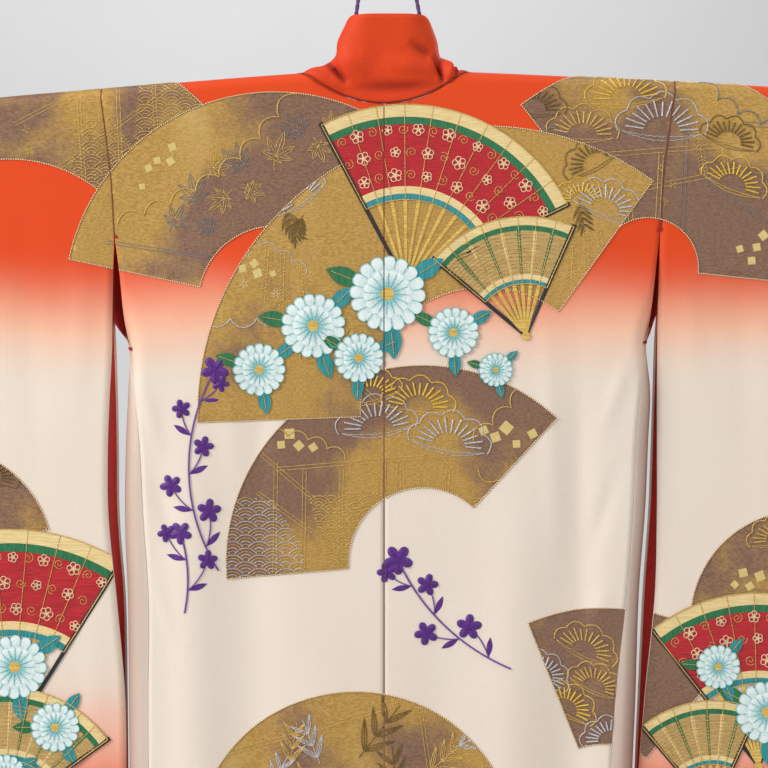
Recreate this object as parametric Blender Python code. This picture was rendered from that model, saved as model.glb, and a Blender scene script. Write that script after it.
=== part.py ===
"""A long-sleeved kimono hung on a straight rod, with its back to -Y.

The held point, the top of the hanging ring, is the origin. Every cloth piece is a wall worked out from
two things: a place along the cloth (how far it has gone over the rod and fallen) and a place across it.
"""

import math
from collections import namedtuple

import bmesh
import bpy
from mathutils import Vector

# Driving dimensions, in metres
SHOULDER_Z = -0.345
SHOULDER_CROWN = 0.0065
SHOULDER_BEND = 0.100
ARM_FALL = {-1: 0.090, 1: 0.052}
ROD_RADIUS = 0.010
ROD_OVERHANG = 0.030
CLOTH = 0.0020
LINING = 0.0010
COLLAR = 0.0030
SEAM_GAP = 0.0003
GARMENT_FALL = 1.600
NECK_HALF = 0.1046
NECK_FALL = 0.0285
OVERLAP_TOP = 0.260
OVERLAP_SEAM_X = 0.065
OVERLAP_WIDTH = 0.150
OVERLAP_POINT = 0.860
FRONT_LAYER = 0.0060
BODY_SPREAD = 0.0130
SIDE_ROUND = 0.018
ARMHOLE_TOP = 0.165
ARMHOLE_END = 0.300
SLEEVE_END = {-1: 0.680, 1: 0.690}
SLEEVE_FALL = 1.050
SLEEVE_HALF = 0.0088
SLEEVE_CORNER = 0.040
CUFF_END = 0.210
COLLAR_WIDTH_NECK = 0.075
COLLAR_WIDTH_FRONT = 0.058
COLLAR_GAP = 0.0005
COLLAR_ROOT = 0.005
COLLAR_TANGENT = 0.030
COLLAR_CENTRE_X = 0.005
CORD_RADIUS = 0.0025
TIE_X = {"left": -0.043, "right": 0.055}
TIE_LIFT = 0.0019
TIE_TURN = 0.0036
TIE_TURNS = 3
RING_RADIUS = 0.016
RING_WIRE = 0.002
LOOP_RADIUS = 0.009
KNOT_HALF_HEIGHT = 0.010
KNOT_HALF_WIDTH = 0.0095
CORD_TOP_SPREAD = 0.004

# The rod carries the lining, and the lining carries the cloth
ARC_STEPS = 4
ARC_FACET = math.cos(math.pi / 4 / ARC_STEPS)
LINING_RADIUS = (ROD_RADIUS + SEAM_GAP + LINING / 2) / ARC_FACET
LINING_INSET = SEAM_GAP + (LINING + CLOTH) / 2
FOLD_RADIUS = LINING_RADIUS + LINING_INSET
QUARTER = FOLD_RADIUS * math.pi / 2
LINING_RECESS = 0.0025
LINING_OUTER_RECESS = 0.004
BODY_LINING_INNER_X = 0.125
LINING_SLACK = 0.0036
LINING_NARROWING = 0.006
SLEEVE_SLACK = 0.35

# How far each row of the cloth has fallen below the rod's middle
FALLS = (
    0.010, 0.020, 0.0285, 0.055, 0.094, 0.130, 0.165, 0.210, 0.260, 0.300,
    0.360, 0.420, 0.500, 0.600, 0.720, 0.850, 1.000, 1.200, 1.400, 1.600,
)  # fmt: skip
SLEEVE_FALLS = (
    0.020, 0.055, 0.094, 0.130, 0.165, 0.210, 0.260, 0.300,
    0.360, 0.420, 0.500, 0.600, 0.720, 0.850, 1.000, 1.050,
)  # fmt: skip
LINING_FALLS = (0.020, 0.055, 0.094, 0.130, 0.165, 0.210, 0.260)
BODY_COLUMNS = 8
SIDE_CROWDING = 1.6
SLEEVE_COLUMNS = (0.0, 0.2, 0.45, 0.7, 0.88, 0.94, 1.0)
SLEEVE_LINING_COLUMNS = (0.0, 0.45, 0.88, 0.94, 1.0)
BODY_LINING_COLUMNS = (0.0, 0.2, 0.4, 0.6, 0.8, 1.0)
OVERLAP_COLUMNS = 5
COLLAR_COLUMNS = (0.0, 0.2, 0.4, 0.6, 0.8, 1.0)

# One row for each height of a side: where the back's edge, the front's edge, the roundest place of the
# side and the two edges of the open sleeve are, as distances from the middle of the back
Side = namedtuple("Side", "fall back_edge front_edge turn sleeve_back sleeve_front")
SIDES = {
    -1: (
        Side(0.000, 0.3370, 0.3370, 0.3370, 0.3370, 0.3370),
        Side(0.094, 0.3255, 0.3255, 0.3255, 0.3255, 0.3255),
        Side(0.165, 0.3210, 0.3210, 0.3210, 0.3210, 0.3210),
        Side(0.210, 0.3150, 0.3200, 0.3150, 0.3225, 0.3235),
        Side(0.260, 0.3095, 0.3185, 0.3095, 0.3235, 0.3225),
        Side(0.300, 0.3035, 0.3035, 0.3035, 0.3240, 0.3205),
        Side(0.360, 0.2955, 0.2955, 0.3055, 0.3270, 0.3185),
        Side(0.420, 0.2895, 0.2895, 0.3080, 0.3290, 0.3175),
        Side(0.500, 0.2855, 0.2855, 0.3090, 0.3280, 0.3165),
        Side(0.600, 0.2790, 0.2790, 0.3055, 0.3180, 0.3090),
        Side(0.720, 0.2795, 0.2795, 0.3040, 0.3080, 0.3070),
        Side(0.850, 0.2790, 0.2790, 0.3030, 0.3070, 0.3060),
        Side(1.050, 0.2800, 0.2800, 0.3020, 0.3080, 0.3060),
        Side(1.600, 0.2830, 0.2830, 0.3000, 0.3080, 0.3060),
    ),
    1: (
        Side(0.000, 0.3465, 0.3465, 0.3465, 0.3465, 0.3465),
        Side(0.094, 0.3335, 0.3335, 0.3335, 0.3335, 0.3335),
        Side(0.165, 0.3290, 0.3290, 0.3290, 0.3290, 0.3290),
        Side(0.210, 0.3240, 0.3265, 0.3240, 0.3275, 0.3295),
        Side(0.260, 0.3180, 0.3235, 0.3180, 0.3260, 0.3265),
        Side(0.300, 0.3125, 0.3125, 0.3125, 0.3255, 0.3235),
        Side(0.360, 0.3045, 0.3045, 0.3175, 0.3250, 0.3215),
        Side(0.420, 0.2990, 0.2990, 0.3150, 0.3250, 0.3195),
        Side(0.500, 0.2955, 0.2955, 0.3115, 0.3250, 0.3165),
        Side(0.600, 0.2880, 0.2880, 0.3040, 0.3225, 0.3095),
        Side(0.720, 0.2750, 0.2750, 0.3000, 0.3105, 0.3040),
        Side(0.850, 0.2670, 0.2670, 0.2950, 0.3010, 0.2990),
        Side(1.050, 0.2650, 0.2650, 0.2930, 0.3000, 0.2980),
        Side(1.600, 0.2680, 0.2680, 0.2910, 0.3000, 0.2980),
    ),
}

# The largest soft folds of the hanging back and front, deeper towards the hem
Fold = namedtuple("Fold", "top_x hem_x half_width depth start")
BACK_FOLDS = (
    Fold(-0.235, -0.205, 0.030, 0.0050, 0.28),
    Fold(-0.165, -0.140, 0.034, -0.0045, 0.34),
    Fold(-0.070, -0.060, 0.036, 0.0035, 0.60),
    Fold(0.070, 0.055, 0.036, -0.0030, 0.50),
    Fold(0.160, 0.135, 0.032, 0.0045, 0.36),
    Fold(0.235, 0.205, 0.030, -0.0050, 0.28),
)
FRONT_FOLDS = (
    Fold(-0.210, -0.190, 0.034, 0.0045, 0.30),
    Fold(-0.130, -0.140, 0.030, -0.0030, 0.55),
    Fold(0.140, 0.150, 0.030, -0.0035, 0.45),
    Fold(0.215, 0.195, 0.034, 0.0050, 0.30),
)
HEM_FOLD_GROWTH = 1.7

# The collar's free edge, by how far along the neck seam it is from the middle of the back
CollarEdge = namedtuple("CollarEdge", "along x y z swell")
COLLAR_EDGE = (
    CollarEdge(0.000, 0.000, -0.0340, 0.0725, 0.0040),
    CollarEdge(0.035, 0.030, -0.0325, 0.0722, 0.0080),
    CollarEdge(0.060, 0.0445, -0.0210, 0.0700, 0.0110),
    CollarEdge(0.090, 0.0530, -0.0010, 0.0540, 0.0080),
    CollarEdge(0.116, 0.0610, 0.0170, 0.0320, 0.0050),
    CollarEdge(0.137, 0.0610, 0.0280, 0.0120, 0.0030),
    CollarEdge(0.165, 0.0540, 0.0350, -0.0160, 0.0015),
    CollarEdge(0.200, 0.0410, 0.0360, -0.0500, 0.0000),
)
COLLAR_LIES_FLAT = (0.165, 0.235)


def smooth(start, end, value):
    """0 before start, 1 after end, with an easy slope between."""
    part = min(1.0, max(0.0, (value - start) / (end - start)))
    return part * part * (3 - 2 * part)


def blend(first, second, part):
    return first + (second - first) * part


def read(rows, key, column):
    """The named column of a table at a key between its rows, on a smooth curve."""
    keys = [row[0] for row in rows]
    values = [getattr(row, column) for row in rows]
    if key <= keys[0]:
        return values[0]
    if key >= keys[-1]:
        return values[-1]
    after = next(k for k, place in enumerate(keys) if place > key)
    before = after - 1
    span = keys[after] - keys[before]
    part = (key - keys[before]) / span

    def slope(k):
        low, high = max(0, k - 1), min(len(keys) - 1, k + 1)
        return (values[high] - values[low]) / (keys[high] - keys[low]) * span

    return (
        (2 * part**3 - 3 * part**2 + 1) * values[before]
        + (part**3 - 2 * part**2 + part) * slope(before)
        + (-2 * part**3 + 3 * part**2) * values[after]
        + (part**3 - part**2) * slope(after)
    )


def rod_z(x):
    """Height of the rod's middle: level at the neck, falling a little towards each arm."""
    side = -1 if x < 0 else 1
    fall = ARM_FALL[side] * (math.hypot(x, SHOULDER_BEND) - SHOULDER_BEND)
    return SHOULDER_Z + SHOULDER_CROWN - FOLD_RADIUS - CLOTH / 2 - fall


def sleeve_thickness(fall):
    """Half the distance between a sleeve's two layers."""
    return blend(FOLD_RADIUS, SLEEVE_HALF, smooth(0.0, 0.30, fall))


def side(hand, fall, column):
    """A distance from the table of sides: down to the armhole one seam is the edge of every layer."""
    return read(SIDES[hand], fall, "back_edge" if fall <= ARMHOLE_TOP else column)


def body_half(hand, own_x, fall):
    """Distance of the cloth from the rod's upright plane, for the back and the front alike."""
    open_half = FOLD_RADIUS + BODY_SPREAD * smooth(0.0, 0.35, fall)
    from_edge = side(hand, min(fall, ARMHOLE_END), "back_edge") - own_x
    pinned = (1 - smooth(0.0, 0.15, from_edge)) * (1 - smooth(ARMHOLE_TOP, ARMHOLE_END, fall))
    return blend(open_half, sleeve_thickness(fall), pinned)


def fold_depth(folds, x, fall):
    """How far the soft folds push the cloth out, none of it near the side seams."""
    total = 0.0
    for fold in folds:
        down = max(0.0, (fall - fold.start) / (GARMENT_FALL - fold.start))
        centre = blend(fold.top_x, fold.hem_x, down)
        strength = fold.depth * smooth(0.0, 0.22, down) * blend(1.0, HEM_FOLD_GROWTH, down)
        total += strength * math.exp(-(((x - centre) / fold.half_width) ** 2))
    return total * (1 - smooth(0.235, 0.285, abs(x)))


def side_arc():
    """Length of cloth on a quarter of the rounded side."""
    depth = FOLD_RADIUS + BODY_SPREAD
    return math.pi / 2 * math.sqrt((SIDE_ROUND**2 + depth**2) / 2)


def layer_shift(hand, own_x, fall):
    """The wearer's left front lies over the right one."""
    return -hand * FRONT_LAYER * (1 - smooth(0.06, 0.16, own_x)) * smooth(0.02, 0.15, fall)


def over_rod(hand, own_x, along):
    """A point on the cloth that bends over the rod."""
    x = hand * own_x
    angle = along / FOLD_RADIUS
    return Vector((x, FOLD_RADIUS * math.sin(angle), rod_z(x) + FOLD_RADIUS * math.cos(angle)))


def back_point(hand, own_x, fall):
    """A point of the back at its distance from the middle seam."""
    x = hand * own_x
    turn = side(hand, fall, "turn")
    curl = smooth(ARMHOLE_TOP, ARMHOLE_END, fall)
    inside = max(0.0, own_x - (turn - SIDE_ROUND)) / SIDE_ROUND * curl
    out = body_half(hand, own_x, fall) * math.sqrt(max(0.0, 1 - min(1.0, inside) ** 2))
    return Vector((x, -out - fold_depth(BACK_FOLDS, x, fall), rod_z(x) - fall))


def seam_place(hand, fall):
    """Where the side seam lies, counted along the cloth from the roundest place of the side."""
    inset = side(hand, fall, "turn") - side(hand, fall, "back_edge")
    if fall <= ARMHOLE_END or inset <= 0:
        return 0.0
    if inset < SIDE_ROUND:
        return -math.acos(1 - inset / SIDE_ROUND) / (math.pi / 2) * side_arc()
    return -side_arc() - (inset - SIDE_ROUND)


def front_point(hand, place, fall):
    """A point of the front, its place counted along the cloth inwards from the roundest of the side."""
    curl = smooth(0.24, ARMHOLE_END, fall)
    quarter = side_arc()
    column = "front_edge" if fall <= ARMHOLE_END else "turn"
    reach = abs(place)
    if reach < quarter:
        angle = reach / quarter * math.pi / 2
        inboard, out = SIDE_ROUND * (1 - math.cos(angle)), math.sin(angle)
    else:
        inboard, out = SIDE_ROUND + reach - quarter, 1.0
    own_x = side(hand, fall, column) - blend(place, inboard, curl)
    x = hand * own_x
    y = body_half(hand, own_x, fall) * blend(1.0, out, curl)
    if place < 0:
        return Vector((x, -y, rod_z(x) - fall))
    y += layer_shift(hand, own_x, fall) + fold_depth(FRONT_FOLDS, x, fall)
    return Vector((x, y, rod_z(x) - fall))


def front_place(hand, own_x, fall):
    """The place along the cloth of a point at this distance from the middle, on the flat of the front."""
    curl = smooth(0.24, ARMHOLE_END, fall)
    column = "front_edge" if fall <= ARMHOLE_END else "turn"
    return side(hand, fall, column) - own_x + curl * (side_arc() - SIDE_ROUND)


def cloth_point(hand, own_x, along):
    """A point by its distance from the middle and its length of cloth from the ridge, back negative."""
    if abs(along) <= QUARTER:
        return over_rod(hand, own_x, along)
    fall = abs(along) - QUARTER
    if along < 0:
        return back_point(hand, own_x, fall)
    return front_point(hand, front_place(hand, own_x, fall), fall)


def ridge_stations(falls):
    """Lengths of cloth from the ridge, from the lowest row of the back to the lowest of the front."""
    arc = [QUARTER * k / ARC_STEPS for k in range(ARC_STEPS + 1)]
    half = arc + [QUARTER + fall for fall in falls]
    return [-length for length in reversed(half[1:])] + half


def neck_x(along):
    """Half width of the neck opening: a parabola round the back, then nearly straight down the front."""
    if along <= 0:
        depth = QUARTER + NECK_FALL
        return NECK_HALF * math.sqrt(max(0.0, 1 + along / depth))
    return blend(NECK_HALF, OVERLAP_SEAM_X, min(1.0, along / (QUARTER + OVERLAP_TOP)))


def material(name, colour, roughness, metallic=0.0):
    made = bpy.data.materials.new(name)
    made.use_nodes = True
    shader = made.node_tree.nodes["Principled BSDF"]
    shader.inputs["Base Color"].default_value = (*colour, 1.0)
    shader.inputs["Roughness"].default_value = roughness
    shader.inputs["Metallic"].default_value = metallic
    return made


def add_object(name, data, finish):
    made = bpy.data.objects.new(name, data)
    bpy.context.scene.collection.objects.link(made)
    data.materials.append(finish)
    return made


def add_cloth(name, rows, finish, thickness, close_ring=False, closing=()):
    """A wall from rows of points. closing lists faces, as (row, column) corners, that shut an end."""
    mesh = bpy.data.meshes.new(name)
    shape = bmesh.new()
    grid = [[shape.verts.new(point) for point in row] for row in rows]
    pairs = list(zip(grid, grid[1:] + grid[:1])) if close_ring else list(zip(grid, grid[1:]))
    for upper, lower in pairs:
        for k in range(len(upper) - 1):
            shape.faces.new((upper[k], upper[k + 1], lower[k + 1], lower[k]))
    for corners in closing:
        shape.faces.new([grid[row][column] for row, column in corners])
    bmesh.ops.recalc_face_normals(shape, faces=shape.faces[:])
    shape.to_mesh(mesh)
    shape.free()
    mesh.shade_smooth()
    made = add_object(name, mesh, finish)
    wall = made.modifiers.new("wall", "SOLIDIFY")
    wall.thickness = thickness
    wall.offset = 0.0
    wall.use_even_offset = True
    return made


def add_tube(name, points, radius, finish, resolution=2, end_radius=1.0):
    """A round bar or cord along its points, with filled ends."""
    curve = bpy.data.curves.new(name, "CURVE")
    curve.dimensions = "3D"
    curve.bevel_depth = radius
    curve.bevel_resolution = resolution
    curve.use_fill_caps = True
    line = curve.splines.new("POLY")
    line.points.add(len(points) - 1)
    for place, point in zip(line.points, points):
        place.co = (*point, 1.0)
    line.points[0].radius = end_radius
    line.points[-1].radius = end_radius
    return add_object(name, curve, finish)


def add_turned(name, profile, centre, axis, finish, steps=16):
    """A closed profile of (along the axis, radius) pairs spun round the axis."""
    axis = Vector(axis)
    across = axis.orthogonal().normalized()
    shape = bmesh.new()
    points = [Vector(centre) + axis * along + across * radius for along, radius in profile]
    corners = [shape.verts.new(point) for point in points]
    edges = [shape.edges.new(pair) for pair in zip(corners, corners[1:] + corners[:1])]
    bmesh.ops.spin(
        shape, geom=corners + edges, cent=centre, axis=axis, angle=math.tau, steps=steps, use_merge=True
    )
    bmesh.ops.remove_doubles(shape, verts=shape.verts[:], dist=1e-6)
    bmesh.ops.recalc_face_normals(shape, faces=shape.faces[:])
    mesh = bpy.data.meshes.new(name)
    shape.to_mesh(mesh)
    shape.free()
    mesh.shade_smooth()
    return add_object(name, mesh, finish)


def circle_profile(radius, wire, sides=8):
    angles = [math.tau * k / sides for k in range(sides)]
    return [(wire * math.sin(angle), radius + wire * math.cos(angle)) for angle in angles]


def body_row(hand, along, columns):
    """One row of a body panel, from its middle or neck edge out to its side edge."""
    fall = abs(along) - QUARTER
    row = []
    if along < 0 or abs(along) <= QUARTER:
        inner = neck_x(along) if fall < NECK_FALL - 1e-6 else SEAM_GAP / 2
        outer = side(hand, max(0.0, fall), "back_edge")
        if fall > 0.28:
            outer -= SEAM_GAP / 2
        for k in range(columns + 1):
            row.append(cloth_point(hand, blend(inner, outer, k / columns), along))
        return row
    inner = neck_x(along) if fall < OVERLAP_TOP else OVERLAP_SEAM_X
    first = front_place(hand, inner, fall)
    last = seam_place(hand, fall) + (SEAM_GAP / 2 if fall > 0.28 else 0.0)
    crowding = blend(1.0, SIDE_CROWDING, smooth(ARMHOLE_TOP, ARMHOLE_END, fall))
    for k in range(columns + 1):
        part = 1 - (1 - k / columns) ** crowding
        row.append(front_point(hand, blend(first, last, part), fall))
    return row


def body_panel(hand, name, finish):
    """Back and front of one side, one length of cloth over the shoulder."""
    rows = [body_row(hand, along, BODY_COLUMNS) for along in ridge_stations(FALLS)]
    return add_cloth(name, rows, finish, CLOTH)


def body_lining(hand, name, finish):
    """The lining that shows in the open armhole, over the shoulder and on the rod."""
    rows = []
    for along in ridge_stations(LINING_FALLS):
        fall = max(0.0, abs(along) - QUARTER)
        recess = LINING_RECESS + LINING_NARROWING * smooth(0.22, ARMHOLE_END, fall)
        edge = side(hand, fall, "back_edge" if along < 0 else "front_edge") - recess
        row = []
        loose = LINING_INSET + LINING_SLACK * smooth(0.0, 0.05, fall)
        for part in BODY_LINING_COLUMNS:
            point = cloth_point(hand, blend(BODY_LINING_INNER_X, edge, part), along)
            if abs(along) < QUARTER:
                middle = rod_z(point.x)
                point.y *= LINING_RADIUS / FOLD_RADIUS
                point.z = middle + (point.z - middle) * LINING_RADIUS / FOLD_RADIUS
            else:
                point.y -= math.copysign(loose, point.y)
            row.append(point)
        rows.append(row)
    return add_cloth(name, rows, finish, LINING)


def overlap_top(own_x):
    """Fall of the front overlap's slanting upper edge."""
    return blend(OVERLAP_TOP, OVERLAP_POINT, (OVERLAP_SEAM_X - own_x) / OVERLAP_WIDTH)


def overlap_panel(hand, name, finish):
    """The narrow panel that widens a front, sewn to it down its whole length."""
    rows = []
    lower = [fall for fall in FALLS if fall > OVERLAP_POINT]
    for k in range(len(lower) + 4):
        row = []
        for j in range(OVERLAP_COLUMNS + 1):
            own_x = OVERLAP_SEAM_X - OVERLAP_WIDTH * j / OVERLAP_COLUMNS
            top = overlap_top(own_x)
            fall = lower[k - 4] if k >= 4 else blend(top, lower[0], k / 4)
            seam_x = own_x - SEAM_GAP if j == 0 else own_x
            row.append(front_point(hand, front_place(hand, seam_x, fall), fall))
        rows.append(row)
    return add_cloth(name, rows, finish, CLOTH)


def collar_seam(hand):
    """Places of one half of the neck seam, from the middle of the back to the collar's end."""
    places = []
    for along in ridge_stations(FALLS):
        fall = abs(along) - QUARTER
        if along < 0 and fall > NECK_FALL + 1e-6:
            continue
        if along > 0 and fall > OVERLAP_TOP + 1e-6:
            break
        places.append((neck_x(along), along))
    for j in range(1, OVERLAP_COLUMNS + 1):
        own_x = OVERLAP_SEAM_X - OVERLAP_WIDTH * j / OVERLAP_COLUMNS
        places.append((own_x, QUARTER + overlap_top(own_x)))
    return places


def collar_rows(hand):
    """Sections of one half of the collar, each from the seam to the free edge."""
    places = collar_seam(hand)
    rows = []
    along_seam = 0.0
    for k, (own_x, along) in enumerate(places):
        before = places[max(0, k - 1)] if k else (-places[1][0], places[1][1])
        after = places[min(len(places) - 1, k + 1)]
        step = Vector((after[0] - before[0], after[1] - before[1])).normalized()
        inward = Vector((-step.y, step.x))
        if k:
            along_seam += math.hypot(own_x - places[k - 1][0], along - places[k - 1][1])

        def on_cloth(distance):
            return cloth_point(hand, own_x + inward.x * distance, along + inward.y * distance)

        seam, root = on_cloth(COLLAR_GAP), on_cloth(COLLAR_ROOT)
        width = blend(COLLAR_WIDTH_NECK, COLLAR_WIDTH_FRONT, smooth(0.18, 0.45, along_seam))
        flat = smooth(*COLLAR_LIES_FLAT, along_seam)
        raised = {axis: read(COLLAR_EDGE, along_seam, axis) for axis in ("x", "y", "z")}
        edge = Vector(
            (hand * raised["x"] + COLLAR_CENTRE_X, raised["y"], SHOULDER_Z + raised["z"])
        )
        swell = read(COLLAR_EDGE, along_seam, "swell") * (1 - flat)
        tangent = (root - seam).normalized()
        away = Vector((hand * math.sin(min(1.2, along_seam * 11)), -math.cos(min(1.2, along_seam * 11)), 0))
        handle = root + tangent * COLLAR_TANGENT + away * swell
        row = [seam, root]
        for part in COLLAR_COLUMNS[1:]:
            standing = (
                root * (1 - part) ** 2 + handle * 2 * part * (1 - part) + edge * part**2
            )
            lying = on_cloth(blend(COLLAR_ROOT, width, part))
            row.append(standing.lerp(lying, flat))
        rows.append(row)
    return rows


def collar(name, finish):
    """One band round the neck and down both fronts."""
    left, right = collar_rows(-1), collar_rows(1)
    return add_cloth(name, left[:0:-1] + right, finish, COLLAR)


def sleeve_row(hand, part, across, inset):
    """Points round a sleeve at one distance from the body, back, over the rod, front and bottom."""
    end = SLEEVE_END[hand]
    from_end = (1 - across) * (end - side(hand, SLEEVE_FALL, "sleeve_back"))
    reach = max(0.0, SLEEVE_CORNER - from_end)
    rise = SLEEVE_CORNER - math.sqrt(max(0.0, SLEEVE_CORNER**2 - reach**2))

    def point(along_sign, fall, half, lower=0.0):
        edge = side(hand, fall, "sleeve_back" if along_sign < 0 else "sleeve_front")
        own_x = blend(edge + SEAM_GAP + part.recess, end - part.outer_recess, across)
        x = hand * own_x
        lifted = fall - rise * smooth(0.85, SLEEVE_FALL, fall)
        return Vector((x, along_sign * half, rod_z(x) - lifted - lower))

    def half_at(fall):
        narrow = 1 - 0.5 * smooth(0.8, 1.0, across) * smooth(CUFF_END, 0.30, fall)
        return sleeve_thickness(fall) * narrow - inset * (1 + SLEEVE_SLACK * smooth(0.0, 0.1, fall))

    falls = [0.0, *SLEEVE_FALLS]
    ring = [point(-1, fall, half_at(fall)) for fall in reversed(falls)]
    radius = FOLD_RADIUS - inset
    for k in range(1, 2 * ARC_STEPS):
        angle = math.pi / 2 * (k / ARC_STEPS - 1)
        top = point(-1, 0.0, 0.0)
        ring.append(top + Vector((0, radius * math.sin(angle), radius * math.cos(angle))))
    ring += [point(1, fall, half_at(fall)) for fall in falls]
    low = half_at(SLEEVE_FALL)
    back, front = point(-1, SLEEVE_FALL, 0.0), point(1, SLEEVE_FALL, 0.0)
    for k in range(1, 4):
        angle = math.pi * k / 4
        middle = front.lerp(back, k / 4)
        ring.append(middle + Vector((0, low * math.cos(angle), -low * math.sin(angle))))
    return ring


SleevePart = namedtuple("SleevePart", "recess outer_recess")


def sleeve(hand, name, finish):
    """A long bag, open to the body and at the cuff, shut along its lower outer edge and bottom."""
    part = SleevePart(0.0, 0.0)
    columns = [sleeve_row(hand, part, across, 0.0) for across in SLEEVE_COLUMNS]
    rows = [list(row) for row in zip(*columns)]
    count = len(SLEEVE_FALLS) + 1
    cuff = count - 1 - ([0.0, *SLEEVE_FALLS].index(CUFF_END))
    front_start = count + 2 * ARC_STEPS - 1
    last = len(SLEEVE_COLUMNS) - 1
    closing = []
    for k in range(cuff):
        mirror = front_start + count - 1 - k
        closing.append(((k, last), (k + 1, last), (mirror - 1, last), (mirror, last)))
    bottom = front_start + count
    closing.append(
        ((0, last), (bottom - 1, last), (bottom, last), (bottom + 1, last), (bottom + 2, last))
    )
    return add_cloth(name, rows, finish, CLOTH, close_ring=True, closing=closing)


def sleeve_lining(hand, name, finish):
    """The red lining inside a sleeve, sewn in at the open inner edge and at the cuff."""
    part = SleevePart(LINING_RECESS, LINING_OUTER_RECESS)
    columns = [sleeve_row(hand, part, across, LINING_INSET) for across in SLEEVE_LINING_COLUMNS]
    rows = [list(row) for row in zip(*columns)]
    return add_cloth(name, rows, finish, LINING, close_ring=True)


def hanger_rod(finish):
    """A slightly arched round rod through both sleeves."""
    low, high = -SLEEVE_END[-1] - ROD_OVERHANG, SLEEVE_END[1] + ROD_OVERHANG
    bevel = ROD_RADIUS / 3
    inner = [low + bevel + (high - low - 2 * bevel) * k / 28 for k in range(29)]
    places = [low, *inner, high]
    points = [Vector((x, 0.0, rod_z(x))) for x in places]
    return add_tube("hanger_rod", points, ROD_RADIUS, finish, resolution=3, end_radius=0.7)


def rod_tie(hand_name, finish):
    """Three flat turns of the cord round the rod."""
    x = TIE_X[hand_name]
    inner = ROD_RADIUS + SEAM_GAP
    half = TIE_TURN * TIE_TURNS / 2
    profile = [(-half, inner)]
    for turn in range(TIE_TURNS):
        for k in range(4):
            angle = math.pi * k / 3
            along = -half + TIE_TURN * (turn + 0.5 - 0.5 * math.cos(angle))
            profile.append((along, inner + TIE_LIFT * (0.55 + 0.45 * math.sin(angle))))
        profile.pop()
    profile += [(half, inner + TIE_LIFT * 0.55), (half, inner)]
    lean = Vector((2 * half, 0.0, rod_z(x + half) - rod_z(x - half))).normalized()
    return add_turned(f"rod_tie_{hand_name}", profile, (x, 0.0, rod_z(x)), lean, finish, steps=20)


def knot_centre():
    loop_centre = -2 * RING_RADIUS + RING_WIRE + SEAM_GAP - (LOOP_RADIUS - CORD_RADIUS)
    loop_low = loop_centre - LOOP_RADIUS - CORD_RADIUS
    return loop_centre, loop_low - SEAM_GAP - KNOT_HALF_HEIGHT


def cord_leg(hand_name, finish):
    """One half of the hanging cord, pulled straight between the rod and the knot."""
    x = TIE_X[hand_name]
    sign = math.copysign(1, x)
    knot_z = knot_centre()[1]
    foot = Vector((x, 0.0, rod_z(x) + ROD_RADIUS + TIE_LIFT + 4 * SEAM_GAP))
    drop = KNOT_HALF_HEIGHT * math.sqrt(1 - (CORD_TOP_SPREAD / KNOT_HALF_WIDTH) ** 2)
    head = Vector((sign * CORD_TOP_SPREAD, 0.0, knot_z - drop - 2 * SEAM_GAP))
    points = [foot.lerp(head, k / 12) for k in range(13)]
    return add_tube(f"cord_{hand_name}", points, CORD_RADIUS, finish)


def hanging_knot(finish):
    """The knot that gathers both halves of the cord."""
    centre_z = knot_centre()[1]
    profile = []
    for k in range(9):
        angle = math.pi * k / 8 - math.pi / 2
        profile.append((KNOT_HALF_HEIGHT * math.sin(angle), KNOT_HALF_WIDTH * math.cos(angle)))
    return add_turned("hanging_knot", profile, (0.0, 0.0, centre_z), (0.0, 0.0, 1.0), finish)


def main():
    for old in list(bpy.data.objects):
        bpy.data.objects.remove(old)
    orange = material("orange_silk", (0.80, 0.083, 0.021), 0.55)
    ground = material("shaded_silk", (0.83, 0.66, 0.52), 0.55)
    red = material("red_lining_silk", (0.55, 0.02, 0.012), 0.5)
    lacquer = material("lacquered_wood", (0.03, 0.012, 0.010), 0.3)
    purple = material("purple_cord", (0.11, 0.028, 0.16), 0.6)
    brass = material("brass_wire", (0.72, 0.53, 0.24), 0.3, 1.0)
    for hand, word in ((-1, "left"), (1, "right")):
        body_panel(hand, f"body_{word}", ground)
        body_lining(hand, f"body_lining_{word}", red)
        overlap_panel(hand, f"front_overlap_{word}", ground)
        sleeve(hand, f"sleeve_{word}", ground)
        sleeve_lining(hand, f"sleeve_lining_{word}", red)
        rod_tie(word, purple)
        cord_leg(word, purple)
    collar("collar", orange)
    hanger_rod(lacquer)
    hanging_knot(purple)
    loop_z = knot_centre()[0]
    add_turned(
        "hanging_loop", circle_profile(LOOP_RADIUS, CORD_RADIUS), (0, 0, loop_z), (1, 0, 0), purple
    )
    add_turned(
        "hanging_ring", circle_profile(RING_RADIUS, RING_WIRE), (0, 0, -RING_RADIUS), (0, 1, 0), brass
    )


main()
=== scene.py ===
"""Looks of a long-sleeved kimono that hangs on a rod with its back to -Y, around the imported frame."""

import math
from collections import namedtuple

import bmesh
import bpy
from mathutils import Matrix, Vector
from mathutils.geometry import delaunay_2d_cdt


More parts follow.
